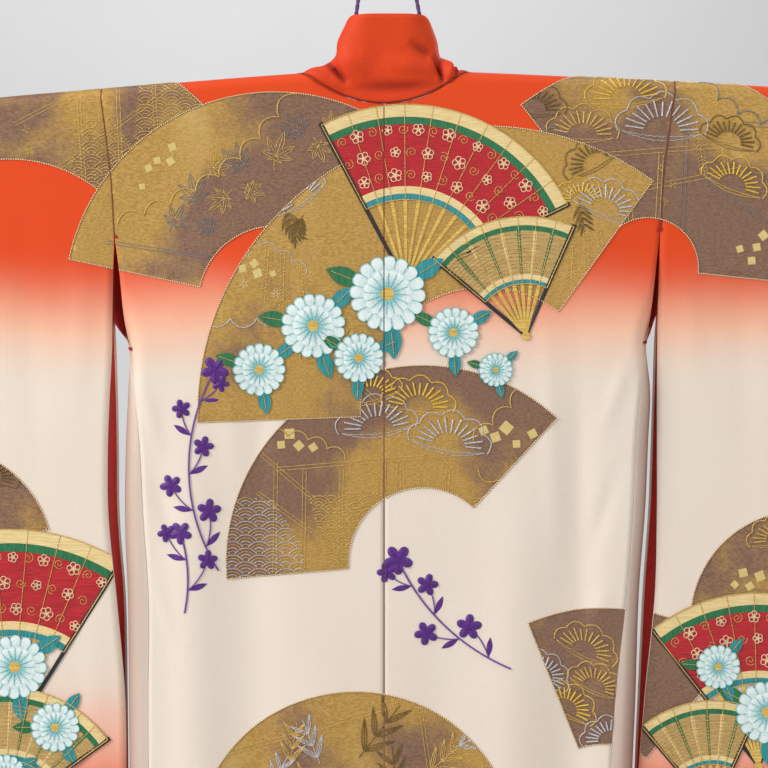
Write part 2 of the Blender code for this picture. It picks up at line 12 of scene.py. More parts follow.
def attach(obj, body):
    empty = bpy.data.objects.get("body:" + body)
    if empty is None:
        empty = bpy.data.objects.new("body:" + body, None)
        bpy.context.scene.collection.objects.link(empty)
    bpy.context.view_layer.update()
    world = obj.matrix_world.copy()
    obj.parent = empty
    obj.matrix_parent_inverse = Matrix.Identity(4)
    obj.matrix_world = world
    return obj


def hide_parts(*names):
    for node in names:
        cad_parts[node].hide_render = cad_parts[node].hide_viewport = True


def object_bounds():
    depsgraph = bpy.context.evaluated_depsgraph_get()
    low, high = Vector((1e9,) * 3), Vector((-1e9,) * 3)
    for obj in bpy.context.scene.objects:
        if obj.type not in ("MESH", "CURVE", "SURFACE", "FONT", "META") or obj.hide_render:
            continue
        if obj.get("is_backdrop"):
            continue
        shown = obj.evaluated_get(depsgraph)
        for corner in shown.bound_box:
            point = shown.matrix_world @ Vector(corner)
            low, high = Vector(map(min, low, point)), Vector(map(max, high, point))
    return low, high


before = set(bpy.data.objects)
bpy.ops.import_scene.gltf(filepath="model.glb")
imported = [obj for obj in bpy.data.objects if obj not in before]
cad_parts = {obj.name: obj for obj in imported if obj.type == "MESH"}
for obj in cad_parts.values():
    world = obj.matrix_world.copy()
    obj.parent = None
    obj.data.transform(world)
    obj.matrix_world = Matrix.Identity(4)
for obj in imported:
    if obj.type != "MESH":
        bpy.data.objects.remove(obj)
cad_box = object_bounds()

# The camera stands square to the middle of the back, 3 m away, and sees the shoulders, the collar and
# the cloth down to the seat. Its frame is 918 mm wide where the cloth hangs.
SHOULDER_Z = -0.345
CAMERA_DISTANCE = 3.0
CAMERA_DROP = 0.369
LENS = 117.6

lens = bpy.data.cameras.new("camera")
lens.lens = LENS
lens.clip_end = 40.0
camera = bpy.data.objects.new("camera", lens)
camera.location = (0.0, -CAMERA_DISTANCE, SHOULDER_Z - CAMERA_DROP)
camera.rotation_euler = (math.pi / 2, 0.0, 0.0)
bpy.context.scene.collection.objects.link(camera)
bpy.context.scene.camera = camera
bpy.context.scene.view_settings.view_transform = "Standard"


# Finishes: a Socket is one output of a material's nodes, and Python's operators add Math nodes to it.
# A Finish is one material, and adds any other node with node().
class Socket:
    def __init__(self, finish, socket):
        self.finish = finish
        self.socket = socket

    def _math(self, operation, *values):
        inputs = dict(enumerate(values))
        return self.finish.node("ShaderNodeMath", inputs, operation=operation)

    def __add__(self, other):
        return self._math("ADD", self, other)

    def __sub__(self, other):
        return self._math("SUBTRACT", self, other)

    def __mul__(self, other):
        return self._math("MULTIPLY", self, other)

    def __truediv__(self, other):
        return self._math("DIVIDE", self, other)

    def __radd__(self, other):
        return self._math("ADD", other, self)

    def __rsub__(self, other):
        return self._math("SUBTRACT", other, self)

    def __rmul__(self, other):
        return self._math("MULTIPLY", other, self)

    def __abs__(self):
        return self._math("ABSOLUTE", self)

    def sine(self):
        return self._math("SINE", self)

    def between(self, low, high):
        """0 up to low, 1 from high, with an easy slope between; low may be the larger."""
        inputs = {"Value": self, "From Min": low, "From Max": high}
        return self.finish.node("ShaderNodeMapRange", inputs, interpolation_type="SMOOTHSTEP")


class Finish:
    def __init__(self, name, **constants):
        self.material = bpy.data.materials.new(name)
        self.material.use_nodes = True
        self.tree = self.material.node_tree
        self.shader = self.tree.nodes["Principled BSDF"]
        for socket, value in constants.items():
            self.shader.inputs[socket.replace("_", " ")].default_value = value
        self.where = self.node("ShaderNodeTexCoord", output="Object")
        self.x, self.y, self.z = self.split(self.where)

    def feed(self, socket, value):
        if isinstance(value, Socket):
            self.tree.links.new(value.socket, socket)
        else:
            socket.default_value = value

    def node(self, kind, inputs=(), output=0, **settings):
        made = self.tree.nodes.new(kind)
        for name, value in settings.items():
            setattr(made, name, value)
        for name, value in dict(inputs).items():
            self.feed(made.inputs[name], value)
        return Socket(self, made.outputs[output])

    def split(self, vector):
        made = self.tree.nodes.new("ShaderNodeSeparateXYZ")
        self.feed(made.inputs[0], vector)
        return [Socket(self, made.outputs[k]) for k in range(3)]

    def noise(self, scale, detail=2.0, stretch=(1.0, 1.0, 1.0), roughness=0.5):
        """Noise from 0 to 1, with scale features to the metre times each axis's stretch."""
        place = self.node("ShaderNodeVectorMath", {0: self.where, 1: stretch}, operation="MULTIPLY")
        inputs = {"Vector": place, "Scale": scale, "Detail": detail, "Roughness": roughness}
        return self.node("ShaderNodeTexNoise", inputs)

    def mix(self, part, first, second):
        inputs = {0: part, 6: first, 7: second}
        return self.node("ShaderNodeMix", inputs, output=2, data_type="RGBA")

    def times(self, colour, shade):
        inputs = {0: 1.0, 6: colour, 7: shade}
        return self.node("ShaderNodeMix", inputs, output=2, data_type="RGBA", blend_type="MULTIPLY")

    def attribute(self, name):
        return self.node("ShaderNodeAttribute", output="Fac", attribute_name=name)

    def shine(self, **channels):
        """Links what varies to the shader's sockets."""
        for socket, value in channels.items():
            self.feed(self.shader.inputs[socket.replace("_", " ")], value)

    def bump(self, height, depth):
        """depth is how far, in metres, a height of 1 stands out."""
        made = self.node("ShaderNodeBump", {"Height": height, "Distance": depth, "Strength": 1.0})
        self.feed(self.shader.inputs["Normal"], made)


def dye(red, green, blue):
    """A colour, given as 0 to 255 on a screen, as the shader takes it."""
    parts = [part / 255 for part in (red, green, blue)]
    linear = [part / 12.92 if part < 0.04045 else ((part + 0.055) / 1.055) ** 2.4 for part in parts]
    return (*linear, 1.0)


# The room is a plain pale studio: a wall behind the garment, a floor under its hem, one wide soft
# light before it on the left, a fill on the right, and light from all round.
WALL_Y = 9.5
FLOOR_Z = -2.12
ROOM_HALF = 12.0
COVE_RADIUS = 2.0
ROOM_GREY = dye(213, 213, 213)


def add_mesh(name, points, faces, finishes):
    """A smooth mesh whose place is in its points."""
    mesh = bpy.data.meshes.new(name)
    mesh.from_pydata([tuple(point) for point in points], [], faces)
    for finish in finishes:
        mesh.materials.append(finish.material)
    mesh.shade_smooth()
    made = bpy.data.objects.new(name, mesh)
    bpy.context.scene.collection.objects.link(made)
    return made


room = Finish("studio_paper", Roughness=0.9)
room.shine(Base_Color=room.mix(room.noise(3.0), ROOM_GREY, dye(208, 208, 209)))
room.bump(room.noise(900.0), 0.0002)
section = [(-ROOM_HALF, FLOOR_Z)]
section += [
    (
        WALL_Y - COVE_RADIUS + COVE_RADIUS * math.sin(math.pi / 16 * k),
        FLOOR_Z + COVE_RADIUS - COVE_RADIUS * math.cos(math.pi / 16 * k),
    )
    for k in range(9)
]
section.append((WALL_Y, ROOM_HALF))
corners = [(x, y, z) for y, z in section for x in (-ROOM_HALF, ROOM_HALF)]
backdrop = add_mesh(
    "backdrop",
    corners,
    [(2 * k, 2 * k + 1, 2 * k + 3, 2 * k + 2) for k in range(len(section) - 1)],
    [room],
)
backdrop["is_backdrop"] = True

Lamp = namedtuple("Lamp", "name place target size watts")
CLOTH_MIDDLE = (0.0, 0.0, -0.85)
for lamp in (
    Lamp("soft_key", (-3.6, -2.1, 0.9), CLOTH_MIDDLE, 1.6, 140.0),
    Lamp("soft_fill", (2.8, -3.4, 0.2), CLOTH_MIDDLE, 2.6, 40.0),
    Lamp("soft_top", (0.0, -0.8, 2.6), CLOTH_MIDDLE, 1.6, 24.0),
    Lamp("soft_back", (1.6, 2.6, 1.6), CLOTH_MIDDLE, 2.0, 40.0),
    Lamp("wall_wash", (-0.7, 5.6, 3.0), (-0.4, 9.5, -0.4), 4.0, 168.0),
):
    glow = bpy.data.lights.new(lamp.name, "AREA")
    glow.shape = "SQUARE"
    glow.size = lamp.size
    glow.energy = lamp.watts
    stand = bpy.data.objects.new(lamp.name, glow)
    stand.location = lamp.place
    aim = Vector(lamp.target) - Vector(lamp.place)
    stand.visible_camera = False
    stand.rotation_euler = aim.to_track_quat("-Z", "Y").to_euler()
    bpy.context.scene.collection.objects.link(stand)
sky = bpy.data.worlds.new("studio")
sky.use_nodes = True
sky.node_tree.nodes["Background"].inputs["Color"].default_value = (0.97, 0.98, 1.0, 1.0)
sky.node_tree.nodes["Background"].inputs["Strength"].default_value = 0.44
bpy.context.scene.world = sky

# The rod: a slightly arched round pole of lacquered wood, 20 mm thick, put through both sleeves.
SHOULDER_CROWN = 0.0065
SHOULDER_BEND = 0.100
ARM_FALL = {-1: 0.090, 1: 0.052}
ROD_RADIUS = 0.010
ROD_OVERHANG = 0.030
CLOTH = 0.0020
LINING = 0.0010
SEAM_GAP = 0.0003
ARC_STEPS = 4
LINING_RADIUS = (ROD_RADIUS + SEAM_GAP + LINING / 2) / math.cos(math.pi / 4 / ARC_STEPS)
LINING_INSET = SEAM_GAP + (LINING + CLOTH) / 2
FOLD_RADIUS = LINING_RADIUS + LINING_INSET
QUARTER = FOLD_RADIUS * math.pi / 2
SLEEVE_END = {-1: 0.680, 1: 0.690}
ROD_ROUNDING = 0.004
ROD_SIDES = 40


def rod_z(x):
    """Height of the rod's middle: level at the neck, falling a little towards each arm."""
    hand = -1 if x < 0 else 1
    fall = ARM_FALL[hand] * (math.hypot(x, SHOULDER_BEND) - SHOULDER_BEND)
    return SHOULDER_Z + SHOULDER_CROWN - FOLD_RADIUS - CLOTH / 2 - fall


def sweep(points, outline, closed=False):
    """Rings of outline points round a path, each as (across, up, station) of a frame that doesn't twist."""
    count = len(points)
    rings = []
    side = None
    for k, point in enumerate(points):
        after = points[(k + 1) % count] if closed or k < count - 1 else point
        before = points[k - 1] if closed or k else point
        along = (after - before).normalized()
        if side is None:
            side = along.orthogonal().normalized()
        side = (side - along * side.dot(along)).normalized()
        other = along.cross(side)
        rings.append([point + side * across + other * up for across, up in outline(k)])
    return rings


def skin(rings, closed=False):
    """Points and faces of a tube from its rings, with filled ends unless it is closed."""
    count = len(rings[0])
    points = [point for ring in rings for point in ring]
    last = len(rings) if closed else len(rings) - 1
    faces = []
    for k in range(last):
        low, high = k * count, (k + 1) % len(rings) * count
        for j in range(count):
            nxt = (j + 1) % count
            faces.append((low + j, low + nxt, high + nxt, high + j))
    if not closed:
        faces.append(tuple(reversed(range(count))))
        faces.append(tuple(range(len(points) - count, len(points))))
    return points, faces


lacquer = Finish("lacquer", Coat_Weight=0.6, Coat_Roughness=0.12)
grain = lacquer.noise(40.0, detail=4.0, stretch=(0.12, 1.0, 1.0))
lacquer.shine(
    Base_Color=lacquer.mix(grain.between(0.35, 0.75), dye(34, 16, 14), dye(66, 30, 22)),
    Roughness=0.22 + grain * 0.15,
)
lacquer.bump(grain, 0.0001)
low, high = -SLEEVE_END[-1] - ROD_OVERHANG, SLEEVE_END[1] + ROD_OVERHANG
places = [low + ROD_ROUNDING * (1 - math.cos(math.pi / 2 * k / 5)) for k in range(6)]
rod_radii = [max(0.0004, ROD_RADIUS - ROD_ROUNDING * (1 - math.sin(math.pi / 2 * k / 5))) for k in range(6)]
middle = [low + ROD_ROUNDING + (high - low - 2 * ROD_ROUNDING) * k / 60 for k in range(1, 60)]
places += middle + [high + low - place for place in reversed(places)]
rod_radii += [ROD_RADIUS] * len(middle) + rod_radii[::-1]
rod_line = [Vector((x, 0.0, rod_z(x))) for x in places]


def rod_outline(k):
    turns = [math.tau * j / ROD_SIDES for j in range(ROD_SIDES)]
    return [(rod_radii[k] * math.cos(turn), rod_radii[k] * math.sin(turn)) for turn in turns]


rod = add_mesh("rod", *skin(sweep(rod_line, rod_outline)), [lacquer])
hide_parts("hanger_rod")
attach(rod, "root")

# The hanging cord: a plaited purple silk cord, 5 mm thick, tied to the rod inside the collar and
# gathered by one knot under a loop, which a brass ring holds. Both halves are pulled straight.
CORD_RADIUS = 0.0025
TIE_X = {"left": -0.043, "right": 0.055}
TIE_LIFT = 0.0019
TIE_WIDTH = 0.0108
RING_RADIUS = 0.016
RING_WIRE = 0.002
LOOP_RADIUS = 0.009
KNOT_HALF_HEIGHT = 0.010
KNOT_HALF_WIDTH = 0.0095
CORD_TOP_SPREAD = 0.004
PLAIT_SIDES = 24
PLAIT_LENGTH = 0.0085
PLAIT_DEPTH = 0.16
PLAIT_STEP = 0.0009
loop_z = -2 * RING_RADIUS + RING_WIRE + SEAM_GAP - (LOOP_RADIUS - CORD_RADIUS)
knot_z = loop_z - LOOP_RADIUS - CORD_RADIUS - SEAM_GAP - KNOT_HALF_HEIGHT


def even_steps(points, step, closed=False):
    """The same path with points at equal steps of its length."""
    line = points + points[:1] if closed else points
    lengths = [0.0]
    for first, second in zip(line, line[1:]):
        lengths.append(lengths[-1] + (second - first).length)
    count = max(2, round(lengths[-1] / step))
    made = []
    k = 0
    for j in range(count if closed else count + 1):
        wanted = lengths[-1] * j / count
        while k < len(lengths) - 2 and lengths[k + 1] < wanted:
            k += 1
        part = (wanted - lengths[k]) / max(1e-9, lengths[k + 1] - lengths[k])
        made.append(line[k].lerp(line[k + 1], min(1.0, part)))
    return made


def plaited_cord(name, route, radius, finish, closed=False):
    """A round cord whose surface is four strands each way, crossing."""
    points = even_steps(route, PLAIT_STEP, closed)

    def strands(k):
        phase = math.tau * k * PLAIT_STEP / PLAIT_LENGTH
        outline = []
        for j in range(PLAIT_SIDES):
            turn = math.tau * j / PLAIT_SIDES
            rise = max(math.cos(2 * turn + phase), math.cos(2 * turn - phase + math.pi / 2))
            reach = radius * (1 - PLAIT_DEPTH + PLAIT_DEPTH * rise)
            outline.append((reach * math.cos(turn), reach * math.sin(turn)))
        return outline

    return add_mesh(name, *skin(sweep(points, strands, closed), closed), [finish])


purple = Finish("purple_cord_silk", Sheen_Weight=0.3)
fibres = purple.noise(700.0, detail=3.0)
tint = purple.mix(fibres.between(0.3, 0.7), dye(62, 30, 78), dye(112, 66, 140))
purple.shine(Base_Color=tint, Roughness=0.5 + fibres * 0.2)
purple.bump(fibres, 0.0003)
knot_path = []
for k in range(90):
    t = math.tau * k / 90
    knot_path.append(
        Vector(
            (
                2.35 * (math.sin(t) + 2 * math.sin(2 * t)),
                1.7 * math.sin(3 * t) * 1.6,
                2.45 * (math.cos(t) - 2 * math.cos(2 * t)),
            )
        )
        * 0.001
        + Vector((0.0, 0.0, knot_z))
    )
hanging_knot = plaited_cord("cord_knot", knot_path, 0.0023, purple, closed=True)
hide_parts("hanging_knot")
circle = [math.tau * k / 48 for k in range(48)]
loop_path = [Vector((0.0, LOOP_RADIUS * math.sin(t), loop_z + LOOP_RADIUS * math.cos(t))) for t in circle]
cord_loop = plaited_cord("cord_loop", loop_path, CORD_RADIUS, purple, closed=True)
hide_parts("hanging_loop")
for piece in (hanging_knot, cord_loop):
    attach(piece, "root")
knot_drop = KNOT_HALF_HEIGHT * math.sqrt(1 - (CORD_TOP_SPREAD / KNOT_HALF_WIDTH) ** 2)
for word, tie_x in TIE_X.items():
    sign = math.copysign(1, tie_x)
    foot = Vector((tie_x, 0.0, rod_z(tie_x) + ROD_RADIUS + TIE_LIFT + 4 * SEAM_GAP))
    head = Vector((sign * CORD_TOP_SPREAD, 0.0, knot_z - knot_drop - 2 * SEAM_GAP))
    route = [foot.lerp(head, k / 14) for k in range(15)]
    leg = plaited_cord(f"cord_leg_{word}", route, CORD_RADIUS, purple)
    turns = []
    for k in range(121):
        t = math.tau * 5 * k / 120
        x = tie_x + TIE_WIDTH * (k / 120 - 0.5) * 0.82
        reach = ROD_RADIUS + SEAM_GAP + TIE_LIFT / 2
        turns.append(Vector((x, reach * math.sin(t), rod_z(x) + reach * math.cos(t))))
    tie = plaited_cord(f"cord_tie_{word}", turns, TIE_LIFT / 2, purple)
    for piece, node in ((leg, f"cord_{word}"), (tie, f"rod_tie_{word}")):
        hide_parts(node)
        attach(piece, "root")
    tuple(foot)
    (head - foot).length

# The ring: drawn brass wire bent round and brazed, worn bright. Its top is the held point.
brass = Finish("ring_brass", Metallic=1.0)
wear = brass.noise(260.0, detail=5.0)
brass.shine(
    Base_Color=brass.mix(wear.between(0.4, 0.7), dye(222, 190, 118), dye(176, 140, 78)),
    Roughness=0.2 + wear * 0.25,
)
brass.bump(wear, 0.00005)
ring_path = [
    Vector((RING_RADIUS * math.sin(t), 0.0, -RING_RADIUS + RING_RADIUS * math.cos(t))) for t in circle
]
wire_turns = [math.tau * j / 20 for j in range(20)]
wire = [(RING_WIRE * math.cos(turn), RING_WIRE * math.sin(turn)) for turn in wire_turns]
ring = add_mesh("ring", *skin(sweep(ring_path, lambda k: wire, True), True), [brass])
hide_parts("hanging_ring")
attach(ring, "root")

# The body: each side is one length of crepe silk from the back hem over the shoulder to the front
# hem, sewn down the middle of the back and down the sides, and open above the side seams. The solid
# and this shell are worked out from the same sizes: a place across, and how far the cloth has fallen.
GARMENT_FALL = 1.600
NECK_HALF = 0.1046
NECK_FALL = 0.0285
OVERLAP_TOP = 0.260
OVERLAP_SEAM_X = 0.065
FRONT_LAYER = 0.0060
BODY_SPREAD = 0.0130
SIDE_ROUND = 0.018
ARMHOLE_TOP = 0.165
ARMHOLE_END = 0.300
SLEEVE_HALF = 0.0088
SIDE_CROWDING = 1.6
SILK = 0.0012
BODY_COLUMNS = 50
CLOTH_STEP = 0.0075

# Distances from the middle of the back: the back's edge, the front's edge, the roundest place of the
# side and the two edges of the open sleeve
Side = namedtuple("Side", "fall back_edge front_edge turn sleeve_back sleeve_front")
SIDES = {
    -1: (
        Side(0.000, 0.3370, 0.3370, 0.3370, 0.3370, 0.3370),
        Side(0.094, 0.3255, 0.3255, 0.3255, 0.3255, 0.3255),
        Side(0.165, 0.3210, 0.3210, 0.3210, 0.3210, 0.3210),
        Side(0.210, 0.3150, 0.3200, 0.3150, 0.3225, 0.3235),
        Side(0.260, 0.3095, 0.3185, 0.3095, 0.3235, 0.3225),
        Side(0.300, 0.3035, 0.3035, 0.3035, 0.3240, 0.3205),
        Side(0.360, 0.2955, 0.2955, 0.3055, 0.3270, 0.3185),
        Side(0.420, 0.2895, 0.2895, 0.3080, 0.3290, 0.3175),
        Side(0.500, 0.2855, 0.2855, 0.3090, 0.3280, 0.3165),
        Side(0.600, 0.2790, 0.2790, 0.3055, 0.3180, 0.3090),
        Side(0.720, 0.2795, 0.2795, 0.3040, 0.3080, 0.3070),
        Side(0.850, 0.2790, 0.2790, 0.3030, 0.3070, 0.3060),
        Side(1.050, 0.2800, 0.2800, 0.3020, 0.3080, 0.3060),
        Side(1.600, 0.2830, 0.2830, 0.3000, 0.3080, 0.3060),
    ),
    1: (
        Side(0.000, 0.3465, 0.3465, 0.3465, 0.3465, 0.3465),
        Side(0.094, 0.3335, 0.3335, 0.3335, 0.3335, 0.3335),
        Side(0.165, 0.3290, 0.3290, 0.3290, 0.3290, 0.3290),
        Side(0.210, 0.3240, 0.3265, 0.3240, 0.3275, 0.3295),
        Side(0.260, 0.3180, 0.3235, 0.3180, 0.3260, 0.3265),
        Side(0.300, 0.3125, 0.3125, 0.3125, 0.3255, 0.3235),
        Side(0.360, 0.3045, 0.3045, 0.3175, 0.3250, 0.3215),
        Side(0.420, 0.2990, 0.2990, 0.3150, 0.3250, 0.3195),
        Side(0.500, 0.2955, 0.2955, 0.3115, 0.3250, 0.3165),
        Side(0.600, 0.2880, 0.2880, 0.3040, 0.3225, 0.3095),
        Side(0.720, 0.2750, 0.2750, 0.3000, 0.3105, 0.3040),
        Side(0.850, 0.2670, 0.2670, 0.2950, 0.3010, 0.2990),
        Side(1.050, 0.2650, 0.2650, 0.2930, 0.3000, 0.2980),
        Side(1.600, 0.2680, 0.2680, 0.2910, 0.3000, 0.2980),
    ),
}

# The largest soft folds of the hanging back and front, deeper towards the hem
Fold = namedtuple("Fold", "top_x hem_x half_width depth start")
BACK_FOLDS = (
    Fold(-0.235, -0.205, 0.030, 0.0050, 0.28),
    Fold(-0.165, -0.140, 0.034, -0.0045, 0.34),
    Fold(-0.070, -0.060, 0.036, 0.0035, 0.60),
    Fold(0.070, 0.055, 0.036, -0.0030, 0.50),
    Fold(0.160, 0.135, 0.032, 0.0045, 0.36),
    Fold(0.235, 0.205, 0.030, -0.0050, 0.28),
)
FRONT_FOLDS = (
    Fold(-0.210, -0.190, 0.034, 0.0045, 0.30),
    Fold(-0.130, -0.140, 0.030, -0.0030, 0.55),
    Fold(0.140, 0.150, 0.030, -0.0035, 0.45),
    Fold(0.215, 0.195, 0.034, 0.0050, 0.30),
)
HEM_FOLD_GROWTH = 1.7

# Creases, each a soft ridge or trough between two places: x, and how far down the cloth
Crease = namedtuple("Crease", "x1 down1 x2 down2 half_width depth")
BACK_CREASES = (
    Crease(-0.292, 0.320, -0.262, 0.440, 0.007, 0.0024),
    Crease(-0.284, 0.430, -0.236, 0.560, 0.009, -0.0027),
    Crease(-0.276, 0.560, -0.246, 0.660, 0.006, 0.0020),
    Crease(-0.190, 0.180, -0.176, 0.520, 0.011, 0.0019),
    Crease(-0.146, 0.250, -0.150, 0.620, 0.012, -0.0022),
    Crease(-0.100, 0.120, -0.082, 0.420, 0.013, 0.0015),
    Crease(-0.058, 0.055, -0.120, 0.110, 0.008, 0.0014),
    Crease(0.062, 0.050, 0.118, 0.100, 0.008, 0.0015),
    Crease(0.104, 0.110, 0.092, 0.360, 0.012, -0.0015),
    Crease(0.190, 0.200, 0.206, 0.640, 0.011, 0.0022),
    Crease(0.228, 0.230, 0.236, 0.700, 0.012, -0.0024),
    Crease(0.296, 0.300, 0.252, 0.430, 0.008, 0.0026),
    Crease(0.286, 0.420, 0.236, 0.590, 0.009, -0.0026),
    Crease(0.276, 0.560, 0.226, 0.700, 0.010, 0.0024),
    Crease(0.262, 0.660, 0.216, 0.790, 0.008, -0.0017),
    Crease(-0.120, 0.760, -0.132, 1.150, 0.012, 0.0024),
    Crease(0.010, 0.700, 0.022, 1.200, 0.014, 0.0017),
    Crease(0.120, 0.820, 0.104, 1.300, 0.013, -0.0024),
    Crease(-0.230, 1.000, -0.216, 1.500, 0.014, 0.0027),
    Crease(-0.020, 1.150, -0.030, 1.560, 0.016, -0.0024),
    Crease(0.196, 1.000, 0.184, 1.540, 0.014, 0.0027),
    Crease(-0.352, 0.130, -0.372, 0.420, 0.012, 0.0019),
    Crease(-0.430, 0.080, -0.412, 0.520, 0.016, -0.0017),
    Crease(-0.350, 0.520, -0.338, 0.930, 0.013, 0.0020),
    Crease(-0.520, 0.160, -0.500, 0.700, 0.018, 0.0022),
    Crease(-0.600, 0.260, -0.585, 0.900, 0.016, -0.0020),
    Crease(-0.450, 0.660, -0.470, 1.010, 0.015, 0.0020),
    Crease(0.356, 0.120, 0.378, 0.400, 0.012, 0.0019),
    Crease(0.420, 0.090, 0.436, 0.560, 0.016, -0.0017),
    Crease(0.346, 0.480, 0.330, 0.940, 0.013, 0.0020),
    Crease(0.515, 0.140, 0.530, 0.640, 0.018, 0.0022),
    Crease(0.610, 0.240, 0.596, 0.880, 0.016, -0.0020),
    Crease(0.470, 0.620, 0.455, 1.000, 0.015, 0.0020),
)
FRONT_CREASES = (
    Crease(-0.270, 0.330, -0.230, 0.520, 0.010, 0.0014),
    Crease(-0.180, 0.160, -0.150, 0.560, 0.013, -0.0012),
    Crease(-0.240, 0.700, -0.225, 1.300, 0.014, 0.0015),
    Crease(0.274, 0.320, 0.236, 0.500, 0.010, -0.0013),
    Crease(0.176, 0.180, 0.160, 0.600, 0.013, 0.0013),
    Crease(0.250, 0.760, 0.238, 1.350, 0.015, -0.0015),
    Crease(-0.400, 0.100, -0.392, 0.560, 0.015, 0.0012),
    Crease(-0.540, 0.200, -0.560, 0.860, 0.017, -0.0013),
    Crease(0.410, 0.120, 0.400, 0.600, 0.015, 0.0012),
    Crease(0.560, 0.220, 0.575, 0.840, 0.017, -0.0013),
)


def smooth(start, end, value):
    """0 before start, 1 after end, with an easy slope between."""
    part = min(1.0, max(0.0, (value - start) / (end - start)))
    return part * part * (3 - 2 * part)


def blend(first, second, part):
    return first + (second - first) * part


def read(rows, key, column):
    """The named column of a table at a key between its rows, on a smooth curve."""
    if key <= rows[0][0]:
        return getattr(rows[0], column)
    if key >= rows[-1][0]:
        return getattr(rows[-1], column)
    after = next(k for k, row in enumerate(rows) if row[0] > key)
    before = after - 1
    span = rows[after][0] - rows[before][0]
    part = (key - rows[before][0]) / span

    def slope(k):
        low, high = rows[max(0, k - 1)], rows[min(len(rows) - 1, k + 1)]
        return (getattr(high, column) - getattr(low, column)) / (high[0] - low[0]) * span

    return (
        (2 * part**3 - 3 * part**2 + 1) * getattr(rows[before], column)
        + (part**3 - 2 * part**2 + part) * slope(before)
        + (-2 * part**3 + 3 * part**2) * getattr(rows[after], column)
        + (part**3 - part**2) * slope(after)
    )


def sleeve_thickness(fall):
    """Half the distance between a sleeve's two layers."""
    return blend(FOLD_RADIUS, SLEEVE_HALF, smooth(0.0, 0.30, fall))


def side(hand, fall, column):
    """A distance from the table of sides: down to the armhole one seam is the edge of every layer."""
    return read(SIDES[hand], fall, "back_edge" if fall <= ARMHOLE_TOP else column)


def body_half(hand, own_x, fall):
    """Distance of the cloth from the rod's upright plane, for the back and the front alike."""
    open_half = FOLD_RADIUS + BODY_SPREAD * smooth(0.0, 0.35, fall)
    from_edge = side(hand, min(fall, ARMHOLE_END), "back_edge") - own_x
    pinned = (1 - smooth(0.0, 0.15, from_edge)) * (1 - smooth(ARMHOLE_TOP, ARMHOLE_END, fall))
    return blend(open_half, sleeve_thickness(fall), pinned)


def fold_depth(folds, x, fall):
    """How far the soft folds push the cloth out, none of it near the side seams."""
    total = 0.0
    for fold in folds:
        down = max(0.0, (fall - fold.start) / (GARMENT_FALL - fold.start))
        centre = blend(fold.top_x, fold.hem_x, down)
        strength = fold.depth * smooth(0.0, 0.22, down) * blend(1.0, HEM_FOLD_GROWTH, down)
        total += strength * math.exp(-(((x - centre) / fold.half_width) ** 2))
    return total * (1 - smooth(0.235, 0.285, abs(x)))


def crease_push(crease, first, second, power=2, limit=math.inf):
    """How far one crease pushes the cloth out at a place: full along its middle, gone at its ends."""
    first1, second1, first2, second2 = crease[:4]
    run, climb = first2 - first1, second2 - second1
    length = math.hypot(run, climb)
    along = ((first - first1) * run + (second - second1) * climb) / length**2
    across = ((first - first1) * climb - (second - second1) * run) / length
    if not 0 < along < 1 or abs(across) >= limit * crease.half_width:
        return 0.0
    bell = math.exp(-((across / crease.half_width) ** 2))
    return crease.depth * math.sin(math.pi * along) ** power * bell


def crease_depth(creases, x, fall):
    """How far the small creases push the cloth out in all."""
    return sum((crease_push(crease, x, fall, limit=3) for crease in creases), 0.0)


def side_arc():
    """Length of cloth on a quarter of the rounded side."""
    depth = FOLD_RADIUS + BODY_SPREAD
    return math.pi / 2 * math.sqrt((SIDE_ROUND**2 + depth**2) / 2)


def layer_shift(hand, own_x, fall):
    """The wearer's left front lies over the right one."""
    return -hand * FRONT_LAYER * (1 - smooth(0.06, 0.16, own_x)) * smooth(0.02, 0.15, fall)


def over_rod(hand, own_x, along):
    """A point on the cloth that bends over the rod."""
    x = hand * own_x
    angle = along / FOLD_RADIUS
    return Vector((x, FOLD_RADIUS * math.sin(angle), rod_z(x) + FOLD_RADIUS * math.cos(angle)))


def back_point(hand, own_x, fall):
    """A point of the back at its distance from the middle seam."""
    x = hand * own_x
    turn = side(hand, fall, "turn")
    curl = smooth(ARMHOLE_TOP, ARMHOLE_END, fall)
    inside = max(0.0, own_x - (turn - SIDE_ROUND)) / SIDE_ROUND * curl
    out = body_half(hand, own_x, fall) * math.sqrt(max(0.0, 1 - min(1.0, inside) ** 2))
    out += crease_depth(BACK_CREASES, x, fall)
    return Vector((x, -out - fold_depth(BACK_FOLDS, x, fall), rod_z(x) - fall))


def seam_place(hand, fall):
    """Where the side seam lies, counted along the cloth from the roundest place of the side."""
    inset = side(hand, fall, "turn") - side(hand, fall, "back_edge")
    if fall <= ARMHOLE_END or inset <= 0:
        return 0.0
    if inset < SIDE_ROUND:
        return -math.acos(1 - inset / SIDE_ROUND) / (math.pi / 2) * side_arc()
    return -side_arc() - (inset - SIDE_ROUND)


def front_point(hand, place, fall):
    """A point of the front, its place counted along the cloth inwards from the roundest of the side."""
    curl = smooth(0.24, ARMHOLE_END, fall)
    quarter = side_arc()
    column = "front_edge" if fall <= ARMHOLE_END else "turn"
    reach = abs(place)
    if reach < quarter:
        angle = reach / quarter * math.pi / 2
        inboard, out = SIDE_ROUND * (1 - math.cos(angle)), math.sin(angle)
    else:
        inboard, out = SIDE_ROUND + reach - quarter, 1.0
    own_x = side(hand, fall, column) - blend(place, inboard, curl)
    x = hand * own_x
    y = body_half(hand, own_x, fall) * blend(1.0, out, curl)
    if place < 0:
        return Vector((x, -y, rod_z(x) - fall))
    y += layer_shift(hand, own_x, fall) + fold_depth(FRONT_FOLDS, x, fall)
    y += crease_depth(FRONT_CREASES, x, fall)
    return Vector((x, y, rod_z(x) - fall))


